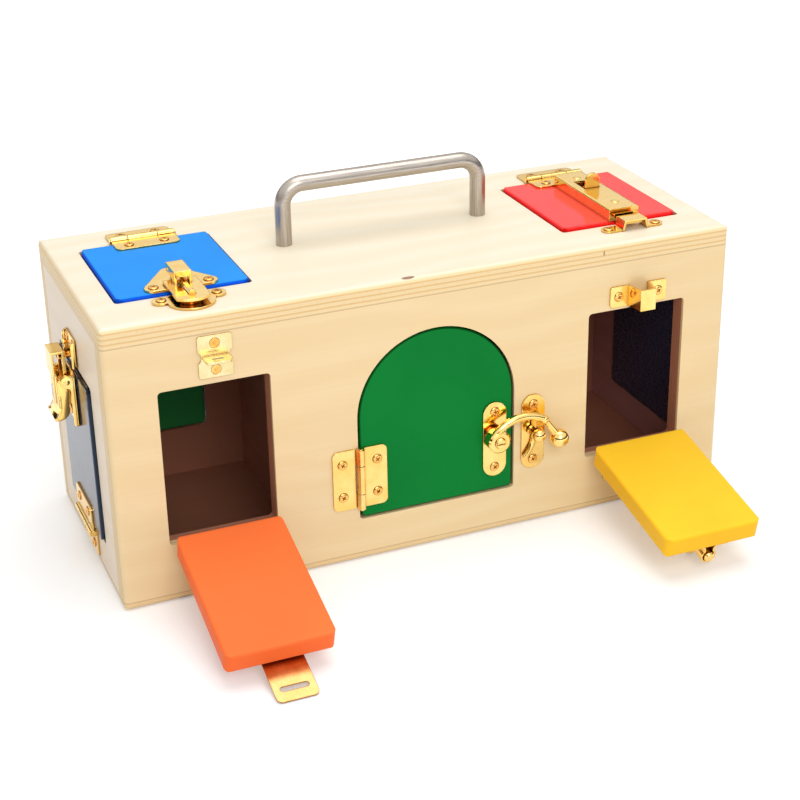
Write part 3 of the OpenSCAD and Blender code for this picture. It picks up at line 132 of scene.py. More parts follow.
def birch_ply(name, axes, outer, thickness, tone, seed, seams=(), marks=(), plies=None):
    """Birch plywood: axes name the grain, cross-grain and thickness directions."""
    finish, tree, shader = new_finish(name)
    place = add(tree, "TexCoord")
    spot = place.outputs["Object"]
    xyz = add(tree, "SeparateXYZ", {0: spot}).outputs
    facing = add(tree, "SeparateXYZ", {0: place.outputs["Normal"]}).outputs
    along, across, deep = (xyz["XYZ".index(a)] for a in axes)
    depth = reckon(tree, "MULTIPLY", reckon(tree, "SUBTRACT", deep, outer), 1.0 / thickness)
    sheet = add(tree, "CombineXYZ", {0: along, 1: across, 2: deep}).outputs[0]
    shift = (seed * 1.37, seed * 2.11, seed * 0.73)

    # veneer figure: faint wavy bands, warm clouds, fine fibres and short pores
    sway = grain_noise(tree, sheet, (5.0, 13.0, 3.0), 2.0, 0.5, shift)
    figure_at = add(tree, "CombineXYZ", {
        0: reckon(tree, "MULTIPLY", along, 0.16),
        1: reckon(tree, "ADD", across, reckon(tree, "MULTIPLY", sway, 0.075)),
        2: 0.0}).outputs[0]
    figure = add(tree, "TexWave", {"Vector": figure_at, "Scale": 13.0, "Distortion": 3.2,
                                   "Detail": 2.0, "Detail Scale": 1.1, "Phase Offset": seed},
                 wave_type="BANDS", bands_direction="Y", wave_profile="SIN").outputs[1]
    fibre = grain_noise(tree, sheet, (9.0, 640.0, 640.0), 4.0, 0.62, shift)
    pores = grain_noise(tree, sheet, (75.0, 2400.0, 2400.0), 2.0, 0.5, shift)
    clouds = grain_noise(tree, sheet, (5.0, 9.0, 9.0), 3.0, 0.5, shift)
    light = reckon(tree, "MULTIPLY_ADD", figure, 0.15,
                   reckon(tree, "MULTIPLY_ADD", fibre, 0.34, reckon(tree, "MULTIPLY", clouds, 0.50)))
    veneer = blend_colour(tree, ramp(tree, light, 0.34, 0.80),
                          tinted(tone, 0.965, 0.925, 0.86), tinted(tone, 1.015, 1.03, 1.06))
    veneer = blend_colour(tree, ramp(tree, clouds, 0.50, 0.72, 0.0, 0.55), veneer,
                          tinted(tone, 0.985, 0.90, 0.80))
    veneer = blend_colour(tree, ramp(tree, pores, 0.66, 0.80, 0.0, 0.30), veneer,
                          tinted(tone, 0.84, 0.72, 0.58))

    # cut edge: four pale plies between three thin darker ones, a little wavy
    wander = reckon(tree, "MULTIPLY_ADD", grain_noise(tree, spot, (40.0, 40.0, 40.0), 2.0, 0.5, shift),
                    0.05, reckon(tree, "SUBTRACT", depth, 0.025))
    stripes = add(tree, "ValToRGB", {0: wander})
    plies = plies or tone
    pale_ply, dark_ply = tinted(plies, 0.99, 0.97, 0.92), tinted(plies, 0.87, 0.73, 0.54)
    ramp_stops = stripes.color_ramp.elements
    ramp_stops[0].position, ramp_stops[1].position = 0.0, 1.0
    for stop in ramp_stops:
        stop.color = (*pale_ply, 1.0)
    for middle in (0.24, 0.50, 0.76):
        for offset, colour in ((-0.05, pale_ply), (-0.016, dark_ply), (0.02, dark_ply), (0.06, pale_ply)):
            ramp_stops.new(middle + offset).color = (*colour, 1.0)
    speckle = grain_noise(tree, spot, (900.0, 900.0, 900.0), 2.0, 0.6, shift)
    cut = blend_colour(tree, ramp(tree, speckle, 0.45, 0.75, 0.0, 0.22), stripes.outputs[0],
                       tinted(plies, 0.80, 0.66, 0.50))
    turned = reckon(tree, "ABSOLUTE", facing["XYZ".index(axes[2])])
    wood = blend_colour(tree, ramp(tree, turned, 0.55, 0.92, 1.0, 0.0), veneer, cut)

    # glue lines where two boards meet, as (direction, place)
    for axis, at in seams:
        off = reckon(tree, "ABSOLUTE", reckon(tree, "SUBTRACT", xyz["XYZ".index(axis)], at))
        wood = blend_colour(tree, ramp(tree, off, 0.0002, 0.0006, 0.55, 0.0), wood,
                            tinted(tone, 0.55, 0.40, 0.26))

    # small dark marks, as (place, half sizes, strength)
    for middle, half, strength in marks:
        away = add(tree, "VectorMath", {0: spot, 1: middle}, operation="SUBTRACT").outputs[0]
        near = add(tree, "VectorMath", {0: away, 1: half}, operation="DIVIDE").outputs[0]
        reach = add(tree, "VectorMath", {0: near}, operation="LENGTH").outputs["Value"]
        wood = blend_colour(tree, ramp(tree, reach, 0.75, 1.1, strength, 0.0), wood, (0.22, 0.07, 0.03))

    # painted shade: a dark brown laid over the reveals and all over the inside of the box, where shade falls
    halves = add(tree, "VectorMath", {0: spot}, operation="ABSOLUTE").outputs[0]
    sides = add(tree, "SeparateXYZ", {0: halves}).outputs
    within = reckon(tree, "MINIMUM", reckon(tree, "SUBTRACT", half_length, sides[0]),
                    reckon(tree, "SUBTRACT", half_depth, sides[1]))
    within = reckon(tree, "MINIMUM", within, reckon(tree, "SUBTRACT", height, sides[2]))
    within = reckon(tree, "MINIMUM", within, reckon(tree, "MULTIPLY", sides[2], 2.4))
    within = reckon(tree, "SUBTRACT", within, ramp(tree, facing[2], 0.5, 0.9, 0.0, lip))
    shaded_wood = blend_colour(tree, 1.0, wood, (0.55, 0.31, 0.35), "MULTIPLY")
    wood = blend_colour(tree, ramp(tree, within, inside_shade_starts, inside_shade_full), wood, shaded_wood)
    tree.links.new(wood, shader.inputs["Base Color"])
    relief = reckon(tree, "ADD", reckon(tree, "MULTIPLY", fibre, 0.7), reckon(tree, "MULTIPLY", pores, -0.3))
    bump = add(tree, "Bump", {"Strength": 0.15, "Distance": 0.00025, "Height": relief})
    tree.links.new(bump.outputs[0], shader.inputs["Normal"])
    tree.links.new(ramp(tree, fibre, 0.3, 0.7, 0.40, 0.54), shader.inputs["Roughness"])
    shader.inputs["Specular IOR Level"].default_value = 0.28
    shader.inputs["Coat Weight"].default_value = 0.12
    shader.inputs["Coat Roughness"].default_value = 0.22
    return finish


# The boards are one birch, but the top and the ends get paler tones than the front: painted light standing in for the
# sheen and lamps that fall on them.
front_tone = (0.850, 0.668, 0.395)
top_tone = (0.870, 0.795, 0.640)
end_tone = (0.920, 0.790, 0.650)
box_seams = (("Z", height - board), ("Z", bottom))
corner_seams = (("Y", board - half_depth), ("Y", half_depth - board)) + box_seams
top_flaws = (((-0.0155, -0.0770, 0.1797), (0.0046, 0.0016, 0.0012), 0.85),
             ((0.1122, -0.0800, 0.1755), (0.0006, 0.0012, 0.0018), 0.7))
# a small dark mark at the foot of the front, by the floor
foot_marks = (((-0.1630, -0.0790, 0.0008), (0.0050, 0.0030, 0.0012), 0.8),)
walls = {
    "front_panel": birch_ply("birch_front", "XZY", -half_depth, board, front_tone, 1.0, corner_seams),
    "back_panel": birch_ply("birch_back", "XZY", half_depth, -board, front_tone, 2.0, corner_seams),
    "left_panel": birch_ply("birch_left", "YZX", -half_length, board, end_tone, 3.0, corner_seams),
    "right_panel": birch_ply("birch_right", "YZX", half_length, -board, end_tone, 4.0, corner_seams),
    "top_panel": birch_ply("birch_top", "XYZ", height, -board, top_tone, 5.0, box_seams, top_flaws, front_tone),
    "bottom_panel": birch_ply("birch_bottom", "XYZ", 0.0, bottom, front_tone, 6.0, box_seams, foot_marks),
    "partitions": birch_ply("birch_partition", "YZX", -0.0795, 0.008, front_tone, 7.0),
}
for wall, ply in walls.items():
    wear(frame["nodes"][wall], ply)


# Carrying handle
# A 10 mm stainless rod, bent twice, brushed along its length and held by two
# screws from under the top board. Its warm tan tint is a painted reflection of the wood.
def brushed_steel(name, legs_below):
    finish, tree, shader = new_finish(name)
    place = add(tree, "TexCoord").outputs["Object"]
    rise = add(tree, "SeparateXYZ", {0: place}).outputs[2]
    bar_lines = grain_noise(tree, place, (50.0, 2600.0, 2600.0), 3.0, 0.6)
    leg_lines = grain_noise(tree, place, (2600.0, 2600.0, 50.0), 3.0, 0.6)
    on_the_bar = ramp(tree, rise, legs_below - 0.004, legs_below + 0.004)
    lines = add(tree, "Mix", {0: on_the_bar, 2: leg_lines, 3: bar_lines}).outputs[0]
    smudge = grain_noise(tree, place, (45.0, 45.0, 45.0), 2.0, 0.5)
    # lighter and darker along the brushed lines, and tinted warm tan all over as a painted reflection of the wood top
    shade = blend_colour(tree, ramp(tree, lines, 0.3, 0.7), (0.37, 0.325, 0.285), (0.56, 0.505, 0.45))
    tree.links.new(shade, shader.inputs["Base Color"])
    shader.inputs["Metallic"].default_value = 1.0
    rough = reckon(tree, "ADD", ramp(tree, lines, 0.2, 0.8, 0.28, 0.38), ramp(tree, smudge, 0.4, 0.7, 0.0, 0.06))
    tree.links.new(rough, shader.inputs["Roughness"])
    bump = add(tree, "Bump", {"Strength": 0.10, "Distance": 0.0001, "Height": lines})
    tree.links.new(bump.outputs[0], shader.inputs["Normal"])
    return finish


steel = brushed_steel("brushed_steel", 0.2045)
for piece in ("handle", "handle_screws"):
    wear(frame["nodes"][piece], steel)


# Butt hinges
# Each door hangs on two stamped leaves of polished brass, rolled into knuckles
# round a loose pin, with dark brown painted shade in the corners and under the knuckles.
def polished_brass(name, bright, shade, rough, seed, drawn=(2600.0, 240.0, 420.0), corner_shade=0.8):
    finish, tree, shader = new_finish(name)
    place = add(tree, "TexCoord").outputs["Object"]
    shift = (seed, seed * 2.0, seed * 3.0)
    cloud = grain_noise(tree, place, (90.0, 90.0, 90.0), 3.0, 0.6, shift)
    rubs = grain_noise(tree, place, drawn, 3.0, 0.6, shift)
    corners = add(tree, "AmbientOcclusion", {"Distance": 0.0032}, samples=8).outputs["AO"]
    metal = blend_colour(tree, ramp(tree, cloud, 0.35, 0.7), shade, bright)
    metal = blend_colour(tree, ramp(tree, rubs, 0.50, 0.75, 0.0, 0.35), metal, tinted(shade, 0.90, 0.80, 0.66))
    # painted shade: dark brown where ambient occlusion finds corners and parts close by
    metal = blend_colour(tree, ramp(tree, corners, 0.30, 0.92, corner_shade, 0.0), metal, (0.30, 0.105, 0.018))
    tree.links.new(metal, shader.inputs["Base Color"])
    shader.inputs["Metallic"].default_value = 1.0
    tree.links.new(reckon(tree, "ADD", ramp(tree, cloud, 0.3, 0.75, rough, rough + 0.07),
                          ramp(tree, rubs, 0.55, 0.75, 0.0, 0.06)), shader.inputs["Roughness"])
    soft = add(tree, "Bevel", {"Radius": 0.0005}, samples=6).outputs[0]
    bump = add(tree, "Bump", {"Strength": 0.12, "Distance": 0.0002, "Height": cloud, "Normal": soft})
    tree.links.new(bump.outputs[0], shader.inputs["Normal"])
    return finish


hinge_brass = polished_brass("hinge_brass", (0.97, 0.70, 0.26), (0.94, 0.61, 0.18), 0.15, 1.0)
for piece in ("hinge_fixed_leaves", "hinge_pins", "orange_leaf", "yellow_leaf", "green_leaf", "blue_leaf",
              "red_leaf", "left_leaf", "right_leaf", "back_leaf"):
    wear(frame["nodes"][piece], hinge_brass)


# Wood screws
# Small brass screws with raised heads and a cross recess hold every plate. One
# is shaped here, and copied to each place at the turn it was driven to.
head_radius, head_sink, flush_share = 0.0030, 0.0001, 0.2
head_rings = ((0.00045, 0.985), (0.00025, 0.90), (0.00020, 0.78), (0.00012, 0.55))
shank_rings = ((-0.0016, 0.47), (-0.0060, 1.0), (-0.0020, 0.25))
recess_height, recess_size, recess_taper = 0.0008, (0.0036, 0.00085, 0.0012), 0.5


def extrude_rings(rings):
    """Extrude what is picked by each rise, and size the new rim."""
    for rise, size in rings:
        bpy.ops.mesh.extrude_region_move(TRANSFORM_OT_translate={"value": (0.0, 0.0, rise)})
        bpy.ops.transform.resize(value=(size, size, 1.0))


def pick_faces(mesh, test):
    """Pick only the faces that pass a test, and stay in edit mode."""
    bpy.ops.object.mode_set(mode="OBJECT")
    for kind in (mesh.vertices, mesh.edges, mesh.polygons):
        for element in kind:
            element.select = False
    for face in mesh.polygons:
        face.select = test(face)
    bpy.ops.object.mode_set(mode="EDIT")


def close_mesh():
    """Merge the doubles of the mesh in hand, and turn its faces outwards."""
    bpy.ops.object.mode_set(mode="EDIT")
    bpy.ops.mesh.select_all(action="SELECT")
    bpy.ops.mesh.remove_doubles(threshold=0.000002)
    bpy.ops.mesh.normals_make_consistent(inside=False)
    bpy.ops.object.mode_set(mode="OBJECT")


def cut_away(piece, tool):
    """Take the tool's shape out of a piece, and put the tool away."""
    cut = piece.modifiers.new("cut", "BOOLEAN")
    cut.operation, cut.object, cut.solver = "DIFFERENCE", tool, "EXACT"
    bpy.context.view_layer.objects.active = piece
    bpy.ops.object.modifier_apply(modifier="cut")
    bpy.data.objects.remove(tool)


def smooth(piece, angle):
    bpy.ops.object.select_all(action="DESELECT")
    piece.select_set(True)
    bpy.ops.object.shade_smooth_by_angle(angle=math.radians(angle))


bpy.ops.object.select_all(action="DESELECT")
bpy.ops.mesh.primitive_circle_add(vertices=24, radius=head_radius, fill_type="NGON")
screw = bpy.context.object
screw.name = "pattern_screw"
bpy.ops.object.mode_set(mode="EDIT")
extrude_rings(head_rings)
pick_faces(screw.data, lambda face: face.center.z < 0.00001)
extrude_rings(shank_rings)
close_mesh()
for turn in (0.0, 90.0):
    bpy.ops.object.select_all(action="DESELECT")
    bpy.ops.mesh.primitive_cube_add(size=1.0, location=(0.0, 0.0, recess_height),
                                    rotation=(0.0, 0.0, math.radians(turn)))
    bit = bpy.context.object
    bit.scale = recess_size
    bpy.ops.object.transform_apply(location=False, rotation=True, scale=True)
    pick_faces(bit.data, lambda face: face.normal.z < -0.5)
    bpy.ops.transform.resize(value=(recess_taper, recess_taper, 1.0))
    bpy.ops.object.mode_set(mode="OBJECT")
    cut_away(screw, bit)
smooth(screw, 38.0)
# the screws are copper-toned brass, with deep painted shade in the recess and round the heads
screw_brass = polished_brass("screw_brass", (0.93, 0.55, 0.17), (0.84, 0.42, 0.10), 0.20, 2.0,
                             (900.0, 900.0, 900.0), 0.95)
wear(screw, screw_brass)


def screw_places(node):
    """The foot of each screw's head in a CAD node, and the way that screw points."""
    loose = bmesh.new()
    loose.from_mesh(frame["nodes"][node].data)
    bmesh.ops.remove_doubles(loose, verts=loose.verts, dist=0.000002)
    left = set(loose.verts)
    while left:
        ring, found = [left.pop()], []
        while ring:
            vert = ring.pop()
            found.append(vert.co.copy())
            for edge in vert.link_edges:
                other = edge.other_vert(vert)
                if other in left:
                    left.remove(other)
                    ring.append(other)
        points = np.array(found)
        middle = (points.min(0) + points.max(0)) / 2
        axis = np.linalg.eigh(np.cov((points - middle).T))[1][:, 2]
        height = (points - middle) @ axis
        spread = np.linalg.norm((points - middle) - np.outer(height, axis), axis=1)
        if spread[height > 0].max() < spread[height < 0].max():
            axis, height = -axis, -height
        yield Vector(middle + axis * (height.max() - head_sink)), Vector(axis)
    loose.free()


# heads are flush where the strap shuts over the staple and the slide bolt runs in its case
run_over, near = [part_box(node) for node in ("staple_plate", "slide_case")], 0.0003
chance = random.Random(7)
for node in [n for n in frame["nodes"] if n.endswith("_screws") and n != "handle_screws"]:
    driven = []
    for foot, axis in sorted(screw_places(node), key=lambda p: tuple(p[0])):
        one = screw.copy()
        one.data = screw.data.copy()
        bpy.context.scene.collection.objects.link(one)
        if any(all(low - near <= at <= high + near for at, low, high in zip(foot, *box)) for box in run_over):
            for vert in one.data.vertices:
                vert.co.z *= flush_share if vert.co.z > 0.0 else 1.0
        spin = Matrix.Rotation(chance.uniform(0.0, math.pi), 4, "Z")
        one.data.transform(Matrix.Translation(foot) @ axis.to_track_quat("Z", "Y").to_matrix().to_4x4() @ spin)
        driven.append(one)
    bpy.ops.object.select_all(action="DESELECT")
    for one in driven:
        one.select_set(True)
    bpy.context.view_layer.objects.active = driven[0]
    bpy.ops.object.join()
    driven[0].name = node.replace("_screws", "_wood_screws")
    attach(driven[0], frame["nodes"][node]["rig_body"])
    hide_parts(node)
bpy.data.objects.remove(screw)


# Locks
# The hasp, bolts, keepers, swing hook, clasp, slide bolt and claw are pressed and
# turned brass, polished brighter than the hinges, with painted shade in their corners. The hasp's
# strap is darker, and the staple paler.
lock_brass = polished_brass("lock_brass", (0.98, 0.72, 0.27), (0.95, 0.62, 0.18), 0.10, 3.0)
strap_brass = polished_brass("strap_brass", (0.66, 0.39, 0.155), (0.57, 0.31, 0.105), 0.20, 4.0,
                             (2800.0, 60.0, 160.0))
staple_brass = polished_brass("staple_brass", (0.84, 0.73, 0.42), (0.75, 0.61, 0.30), 0.20, 5.0,
                              (2800.0, 900.0, 60.0))
for piece in ("yellow_bolt", "right_bolt", "back_bolt", "bolt_keepers", "hook_plate", "hook_arm", "hook_post",
              "clasp_plate", "clasp_flap", "clasp_catch", "slide_case", "slide_bolt", "slide_keeper", "draw_claw"):
    wear(frame["nodes"][piece], lock_brass)
for piece in ("hasp_plate", "hasp_strap"):
    wear(frame["nodes"][piece], strap_brass)
wear(frame["nodes"]["staple_plate"], staple_brass)


# Bolt barrels
# The barrel of each round bolt is one strip of sheet brass, pressed up over the
# bolt to a loop on a narrow neck, with a flange on each side for its screws.
sheet, loop_radius, loop_height = 0.0011, 0.0050, 0.0084
flange_edge, flange_foot, flange_top = 0.0125, 0.0066, 0.0013
strip_length, strip_middle = 0.052, -0.028
neck = [(0.0054, 0.00135), (0.0046, 0.00170), (0.00395, 0.00235), (0.0036, 0.0032), (0.00345, 0.0041)]
loop_turns = [math.radians(-46.0 + 272.0 * step / 20) for step in range(21)]
pressed = neck + [(loop_radius * math.cos(turn), loop_height + loop_radius * math.sin(turn)) for turn in loop_turns]
pressed += [(-across, rise) for across, rise in reversed(neck)]
pressed += [(-flange_foot, flange_top), (-flange_edge, flange_top)]
slot_middle, slot_size, slot_round = (0.0, -0.015, 0.0125), (0.0046, 0.0186, 0.0080), 0.0020


def round_rims(piece, width, segments, angle):
    rims = piece.modifiers.new("rims", "BEVEL")
    rims.width, rims.segments, rims.limit_method, rims.angle_limit = width, segments, "ANGLE", math.radians(angle)
    bpy.ops.object.modifier_apply(modifier="rims")


bpy.ops.object.select_all(action="DESELECT")
bpy.ops.mesh.primitive_plane_add(size=1.0, location=((flange_edge + flange_foot) / 2, strip_middle, flange_top))
barrel = bpy.context.object
barrel.scale = (flange_edge - flange_foot, strip_length, 1.0)
bpy.ops.object.transform_apply(location=True, rotation=False, scale=True)
bpy.ops.object.mode_set(mode="EDIT")
bpy.ops.mesh.select_mode(type="EDGE")
bpy.ops.mesh.select_all(action="DESELECT")
bpy.ops.object.mode_set(mode="OBJECT")
for edge in barrel.data.edges:
    edge.select = all(barrel.data.vertices[v].co.x < flange_foot + 0.0004 for v in edge.vertices)
bpy.ops.object.mode_set(mode="EDIT")
at = (flange_foot, flange_top)
for spot in pressed:
    bpy.ops.mesh.extrude_region_move(TRANSFORM_OT_translate={"value": (spot[0] - at[0], 0.0, spot[1] - at[1])})
    at = spot
bpy.ops.mesh.select_mode(type="VERT")
close_mesh()
thick = barrel.modifiers.new("sheet", "SOLIDIFY")
thick.thickness, thick.offset, thick.use_even_offset = sheet, -1.0, True
bpy.ops.object.modifier_apply(modifier="sheet")
bpy.ops.object.select_all(action="DESELECT")
bpy.ops.mesh.primitive_cube_add(size=1.0, location=slot_middle)
slot = bpy.context.object
slot.scale = slot_size
bpy.ops.object.transform_apply(location=True, rotation=False, scale=True)
for edge in slot.data.edges:
    ends = [slot.data.vertices[v].co for v in edge.vertices]
    edge.select = abs(ends[0].z - ends[1].z) > 0.001
bpy.ops.object.mode_set(mode="EDIT")
bpy.ops.mesh.bevel(offset=slot_round, segments=6)
bpy.ops.object.mode_set(mode="OBJECT")
cut_away(barrel, slot)
round_rims(barrel, 0.00018, 2, 50.0)
smooth(barrel, 35.0)
wear(barrel, lock_brass)

# each place: the middle of the door's edge, the way to that edge, and the way out of the door
fallen = math.radians(101.6)
barrel_places = {
    "yellow": ((0.1365, -0.18171, 0.01815), (0.0, -math.sin(fallen), math.cos(fallen)),
               (0.0, -math.cos(fallen), -math.sin(fallen))),
    "right": ((0.200, -0.0015, 0.128), (0.0, 0.0, 1.0), (1.0, 0.0, 0.0)),
    "back": ((-0.1365, 0.080, 0.136), (0.0, 0.0, 1.0), (0.0, 1.0, 0.0)),
}
for side, (door_edge, towards, outward) in barrel_places.items():
    towards, outward = Vector(towards), Vector(outward)
    one = barrel.copy()
    one.data = barrel.data.copy()
    one.name = side + "_bolt_barrel"
    bpy.context.scene.collection.objects.link(one)
    turn = Matrix((towards.cross(outward), towards, outward)).transposed().to_4x4()
    one.data.transform(Matrix.Translation(door_edge) @ turn)
    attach(one, side + "_door")
    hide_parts(side + "_bolt_case")
bpy.data.objects.remove(barrel)


# Draw latch
# The latch of the left door is pressed from brass sheet: a base and a keeper with
# turned-up sides, and a channel-shaped lever whose tail kicks out for the finger.
# Its sizes are in millimetres: across, up from the door's edge, and out from the door.
latch_sheet, pivot, crank = 1.3, (-5.5, 5.5), (-10.5, 5.2)
base_half, lever_half, claw_half = 12.0, 10.3, 5.4
door_origin, wall_origin = (-0.2022, -0.0015, 0.128), (-0.2000, -0.0015, 0.128)


def cut_plate(outline, start, thick, from_side=False):
    """A plate cut to an outline of (across, up), or of (up, out) when seen from the side."""
    bpy.ops.object.select_all(action="DESELECT")
    bpy.ops.mesh.primitive_circle_add(vertices=len(outline), radius=0.01, fill_type="NGON")
    plate = bpy.context.object
    for vert, (a, b) in zip(plate.data.vertices, outline):
        vert.co = (a / 1000, b / 1000, start / 1000)
    bpy.ops.object.mode_set(mode="EDIT")
    bpy.ops.mesh.select_all(action="SELECT")
    bpy.ops.mesh.extrude_region_move(TRANSFORM_OT_translate={"value": (0.0, 0.0, thick / 1000)})
    close_mesh()
    round_rims(plate, 0.0002, 2, 50.0)
    if from_side:
        plate.data.transform(Matrix(((0, 0, 1, 0), (1, 0, 0, 0), (0, 1, 0, 0), (0, 0, 0, 1))))
    return plate


def side_pair(outline, half):
    """The two sides of a channel, with their outer faces at half its width."""
    return [cut_plate(outline, start, latch_sheet, True) for start in (-half, half - latch_sheet)]


def rivet_pair(place, radius, inner, outer):
    """Short turned pins at (up, out) through both sides, with softly domed ends."""
    pins = []
    for start, end in ((-outer, -inner), (inner, outer)):
        bpy.ops.object.select_all(action="DESELECT")
        bpy.ops.mesh.primitive_cylinder_add(vertices=24, radius=radius / 1000, depth=(end - start) / 1000,
                                            location=((start + end) / 2000, place[0] / 1000, place[1] / 1000),
                                            rotation=(0.0, math.radians(90.0), 0.0))
        pins.append(bpy.context.object)
        bpy.ops.object.transform_apply(location=True, rotation=True, scale=True)
        round_rims(pins[-1], 0.0005, 3, 30.0)
    return pins


def arc(middle, radius, start, end, steps=8):
    turns = [math.radians(start + (end - start) * step / steps) for step in range(steps + 1)]
    return [(middle[0] + radius * math.cos(t), middle[1] + radius * math.sin(t)) for t in turns]


def rounded_plate(low, high, radius):
    (x0, y0), (x1, y1) = low, high
    corners = (((x1 - radius, y0 + radius), -90), ((x1 - radius, y1 - radius), 0),
               ((x0 + radius, y1 - radius), 90), ((x0 + radius, y0 + radius), 180))
    return [spot for middle, start in corners for spot in arc(middle, radius, start, start + 90, 4)]


def put_together(name, plates, origin, body, node):
    bpy.ops.object.select_all(action="DESELECT")
    for plate in plates:
        plate.select_set(True)
    piece = plates[0]
    bpy.context.view_layer.objects.active = piece
    bpy.ops.object.join()
    piece.name = name
    on_left_end = Matrix(((0, 0, -1, 0), (-1, 0, 0, 0), (0, 1, 0, 0), (0, 0, 0, 1)))
    piece.data.transform(Matrix.Translation(origin) @ on_left_end)
    smooth(piece, 35.0)
    wear(piece, lock_brass)
    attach(piece, body)
    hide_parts(node)


base_plate = rounded_plate((-base_half, -35.5), (base_half, -1.5), 2.0)
base_side = (arc((-33.4, 2.0), 1.6, 180, 90, 4) + [(-12.0, 3.6), (-10.2, 4.1)] + arc(pivot, 3.9, 165, 0, 12)
             + [(-1.7, 2.0), (-1.8, 0.2), (-34.9, 0.2)])
put_together("draw_latch_base", [cut_plate(base_plate, 0.0, latch_sheet)] + side_pair(base_side, base_half)
             + rivet_pair(pivot, 1.5, 8.6, 12.35), door_origin, "left_door", "draw_base")

lever_side = (arc(pivot, 3.9, -70, 55, 8)
              + [(-4.4, 10.2), (-5.6, 11.0), (-22.6, 11.0), (-24.8, 11.6), (-28.0, 13.2)]
              + arc((-29.2, 13.7), 0.9, 60, 190, 5)
              + [(-30.3, 11.0), (-29.4, 8.2), (-27.6, 6.0), (-25.2, 5.0), (-17.6, 5.0), (-15.4, 4.3),
                 (-13.0, 2.6), (-10.5, 2.0), (-7.4, 1.9)])
lever_tail = [(-22.0, 11.0), (-24.8, 11.6), (-28.0, 13.2), (-29.4, 14.6),
              (-30.0, 13.8), (-28.7, 12.2), (-25.4, 10.4), (-22.0, 9.7)]
lever_face = [(-lever_half, -22.4), (lever_half, -22.4), (lever_half, -14.0), (claw_half, -14.0),
              (claw_half, -3.3), (-claw_half, -3.3), (-claw_half, -14.0), (-lever_half, -14.0)]
lever_rib = arc((0.0, -20.0), 2.6, 180, 360, 10) + arc((0.0, -7.0), 2.6, 0, 180, 10)
put_together("draw_latch_lever", side_pair(lever_side, lever_half)
             + [cut_plate(lever_face, 9.7, latch_sheet), cut_plate(lever_rib, 10.6, 1.1),
                cut_plate(lever_tail, -10.2, 20.4, True)]
             + rivet_pair(crank, 1.2, claw_half, lever_half), door_origin, "draw_lever", "draw_lever")

keeper_plate = rounded_plate((-base_half, 2.0), (base_half, 20.0), 2.0)
keeper_side = [(2.2, 0.2), (2.2, 3.0), (2.8, 3.6), (16.4, 3.6), (18.4, 2.9), (19.6, 1.4), (19.6, 0.2)]
keeper_hook = ([(7.5, 0.2), (7.5, 9.6)] + arc((8.5, 9.8), 1.0, 180, 90, 4)
               + [(11.1, 10.8), (11.1, 9.5), (8.8, 9.5), (8.8, 0.2)])
put_together("draw_latch_keeper", [cut_plate(keeper_plate, 0.0, latch_sheet)] + side_pair(keeper_side, base_half)
             + [cut_plate(keeper_hook, -claw_half, 2 * claw_half, True)], wall_origin, "box", "draw_keeper")


# Doors and lids
# Solid 13 mm doors with rounded edges, sprayed in bright satin nursery paint.
# The paint has a faint texture; its sides and rounded edges are painted deeper as
# shade in the gaps, and it is rubbed a little at the edges.
def nursery_paint(name, colour, rough, gloss, edge_shade, faces, seed):
    """Satin paint on a door whose broad sides face the given way."""
    finish, tree, shader = new_finish(name)
    coords = add(tree, "TexCoord").outputs
    place = coords["Object"]
    shift = (seed * 3.1, seed * 1.7, seed)
    cloud = grain_noise(tree, place, (14.0, 14.0, 14.0), 3.0, 0.5, shift)
    peel = grain_noise(tree, place, (850.0, 850.0, 850.0), 2.0, 0.5, shift)
    scuff = grain_noise(tree, place, (110.0, 160.0, 130.0), 4.0, 0.7, shift)
    coat = blend_colour(tree, ramp(tree, cloud, 0.3, 0.7), tinted(colour, 0.93, 0.92, 0.92),
                        tinted(colour, 1.03, 1.04, 1.04))
    soft = add(tree, "Bevel", {"Radius": 0.0022}, samples=6).outputs[0]
    flat = add(tree, "NewGeometry").outputs["True Normal"]
    turn = add(tree, "VectorMath", {0: soft, 1: flat}, operation="DOT_PRODUCT").outputs["Value"]
    facing = add(tree, "VectorMath", {0: coords["Normal"], 1: faces}, operation="DOT_PRODUCT").outputs["Value"]
    flatness = reckon(tree, "ABSOLUTE", facing)
    # painted shade: the door's sides and edges turn towards the colour times itself, as the deep shade in the gaps
    coat = blend_colour(tree, ramp(tree, flatness, 0.72, 0.97, edge_shade, 0.0), coat, tuple(c * c for c in colour))
    rubbed = reckon(tree, "MULTIPLY", ramp(tree, turn, 0.80, 0.97, 1.0, 0.0),
                    ramp(tree, scuff, 0.56, 0.76, 0.0, 0.25))
    coat = blend_colour(tree, rubbed, coat, tuple(min(1.0, c * 0.80 + 0.08) for c in colour))
    tree.links.new(coat, shader.inputs["Base Color"])
    tree.links.new(reckon(tree, "ADD", ramp(tree, peel, 0.3, 0.7, rough, rough + 0.05),
                          ramp(tree, scuff, 0.5, 0.8, 0.0, 0.08)), shader.inputs["Roughness"])
    shader.inputs["Specular IOR Level"].default_value = gloss
    bump = add(tree, "Bump", {"Strength": 0.016, "Distance": 0.00012, "Height": peel})
    tree.links.new(bump.outputs[0], shader.inputs["Normal"])
    return finish


front, lid, end = (0.0, 1.0, 0.0), (0.0, 0.0, 1.0), (1.0, 0.0, 0.0)
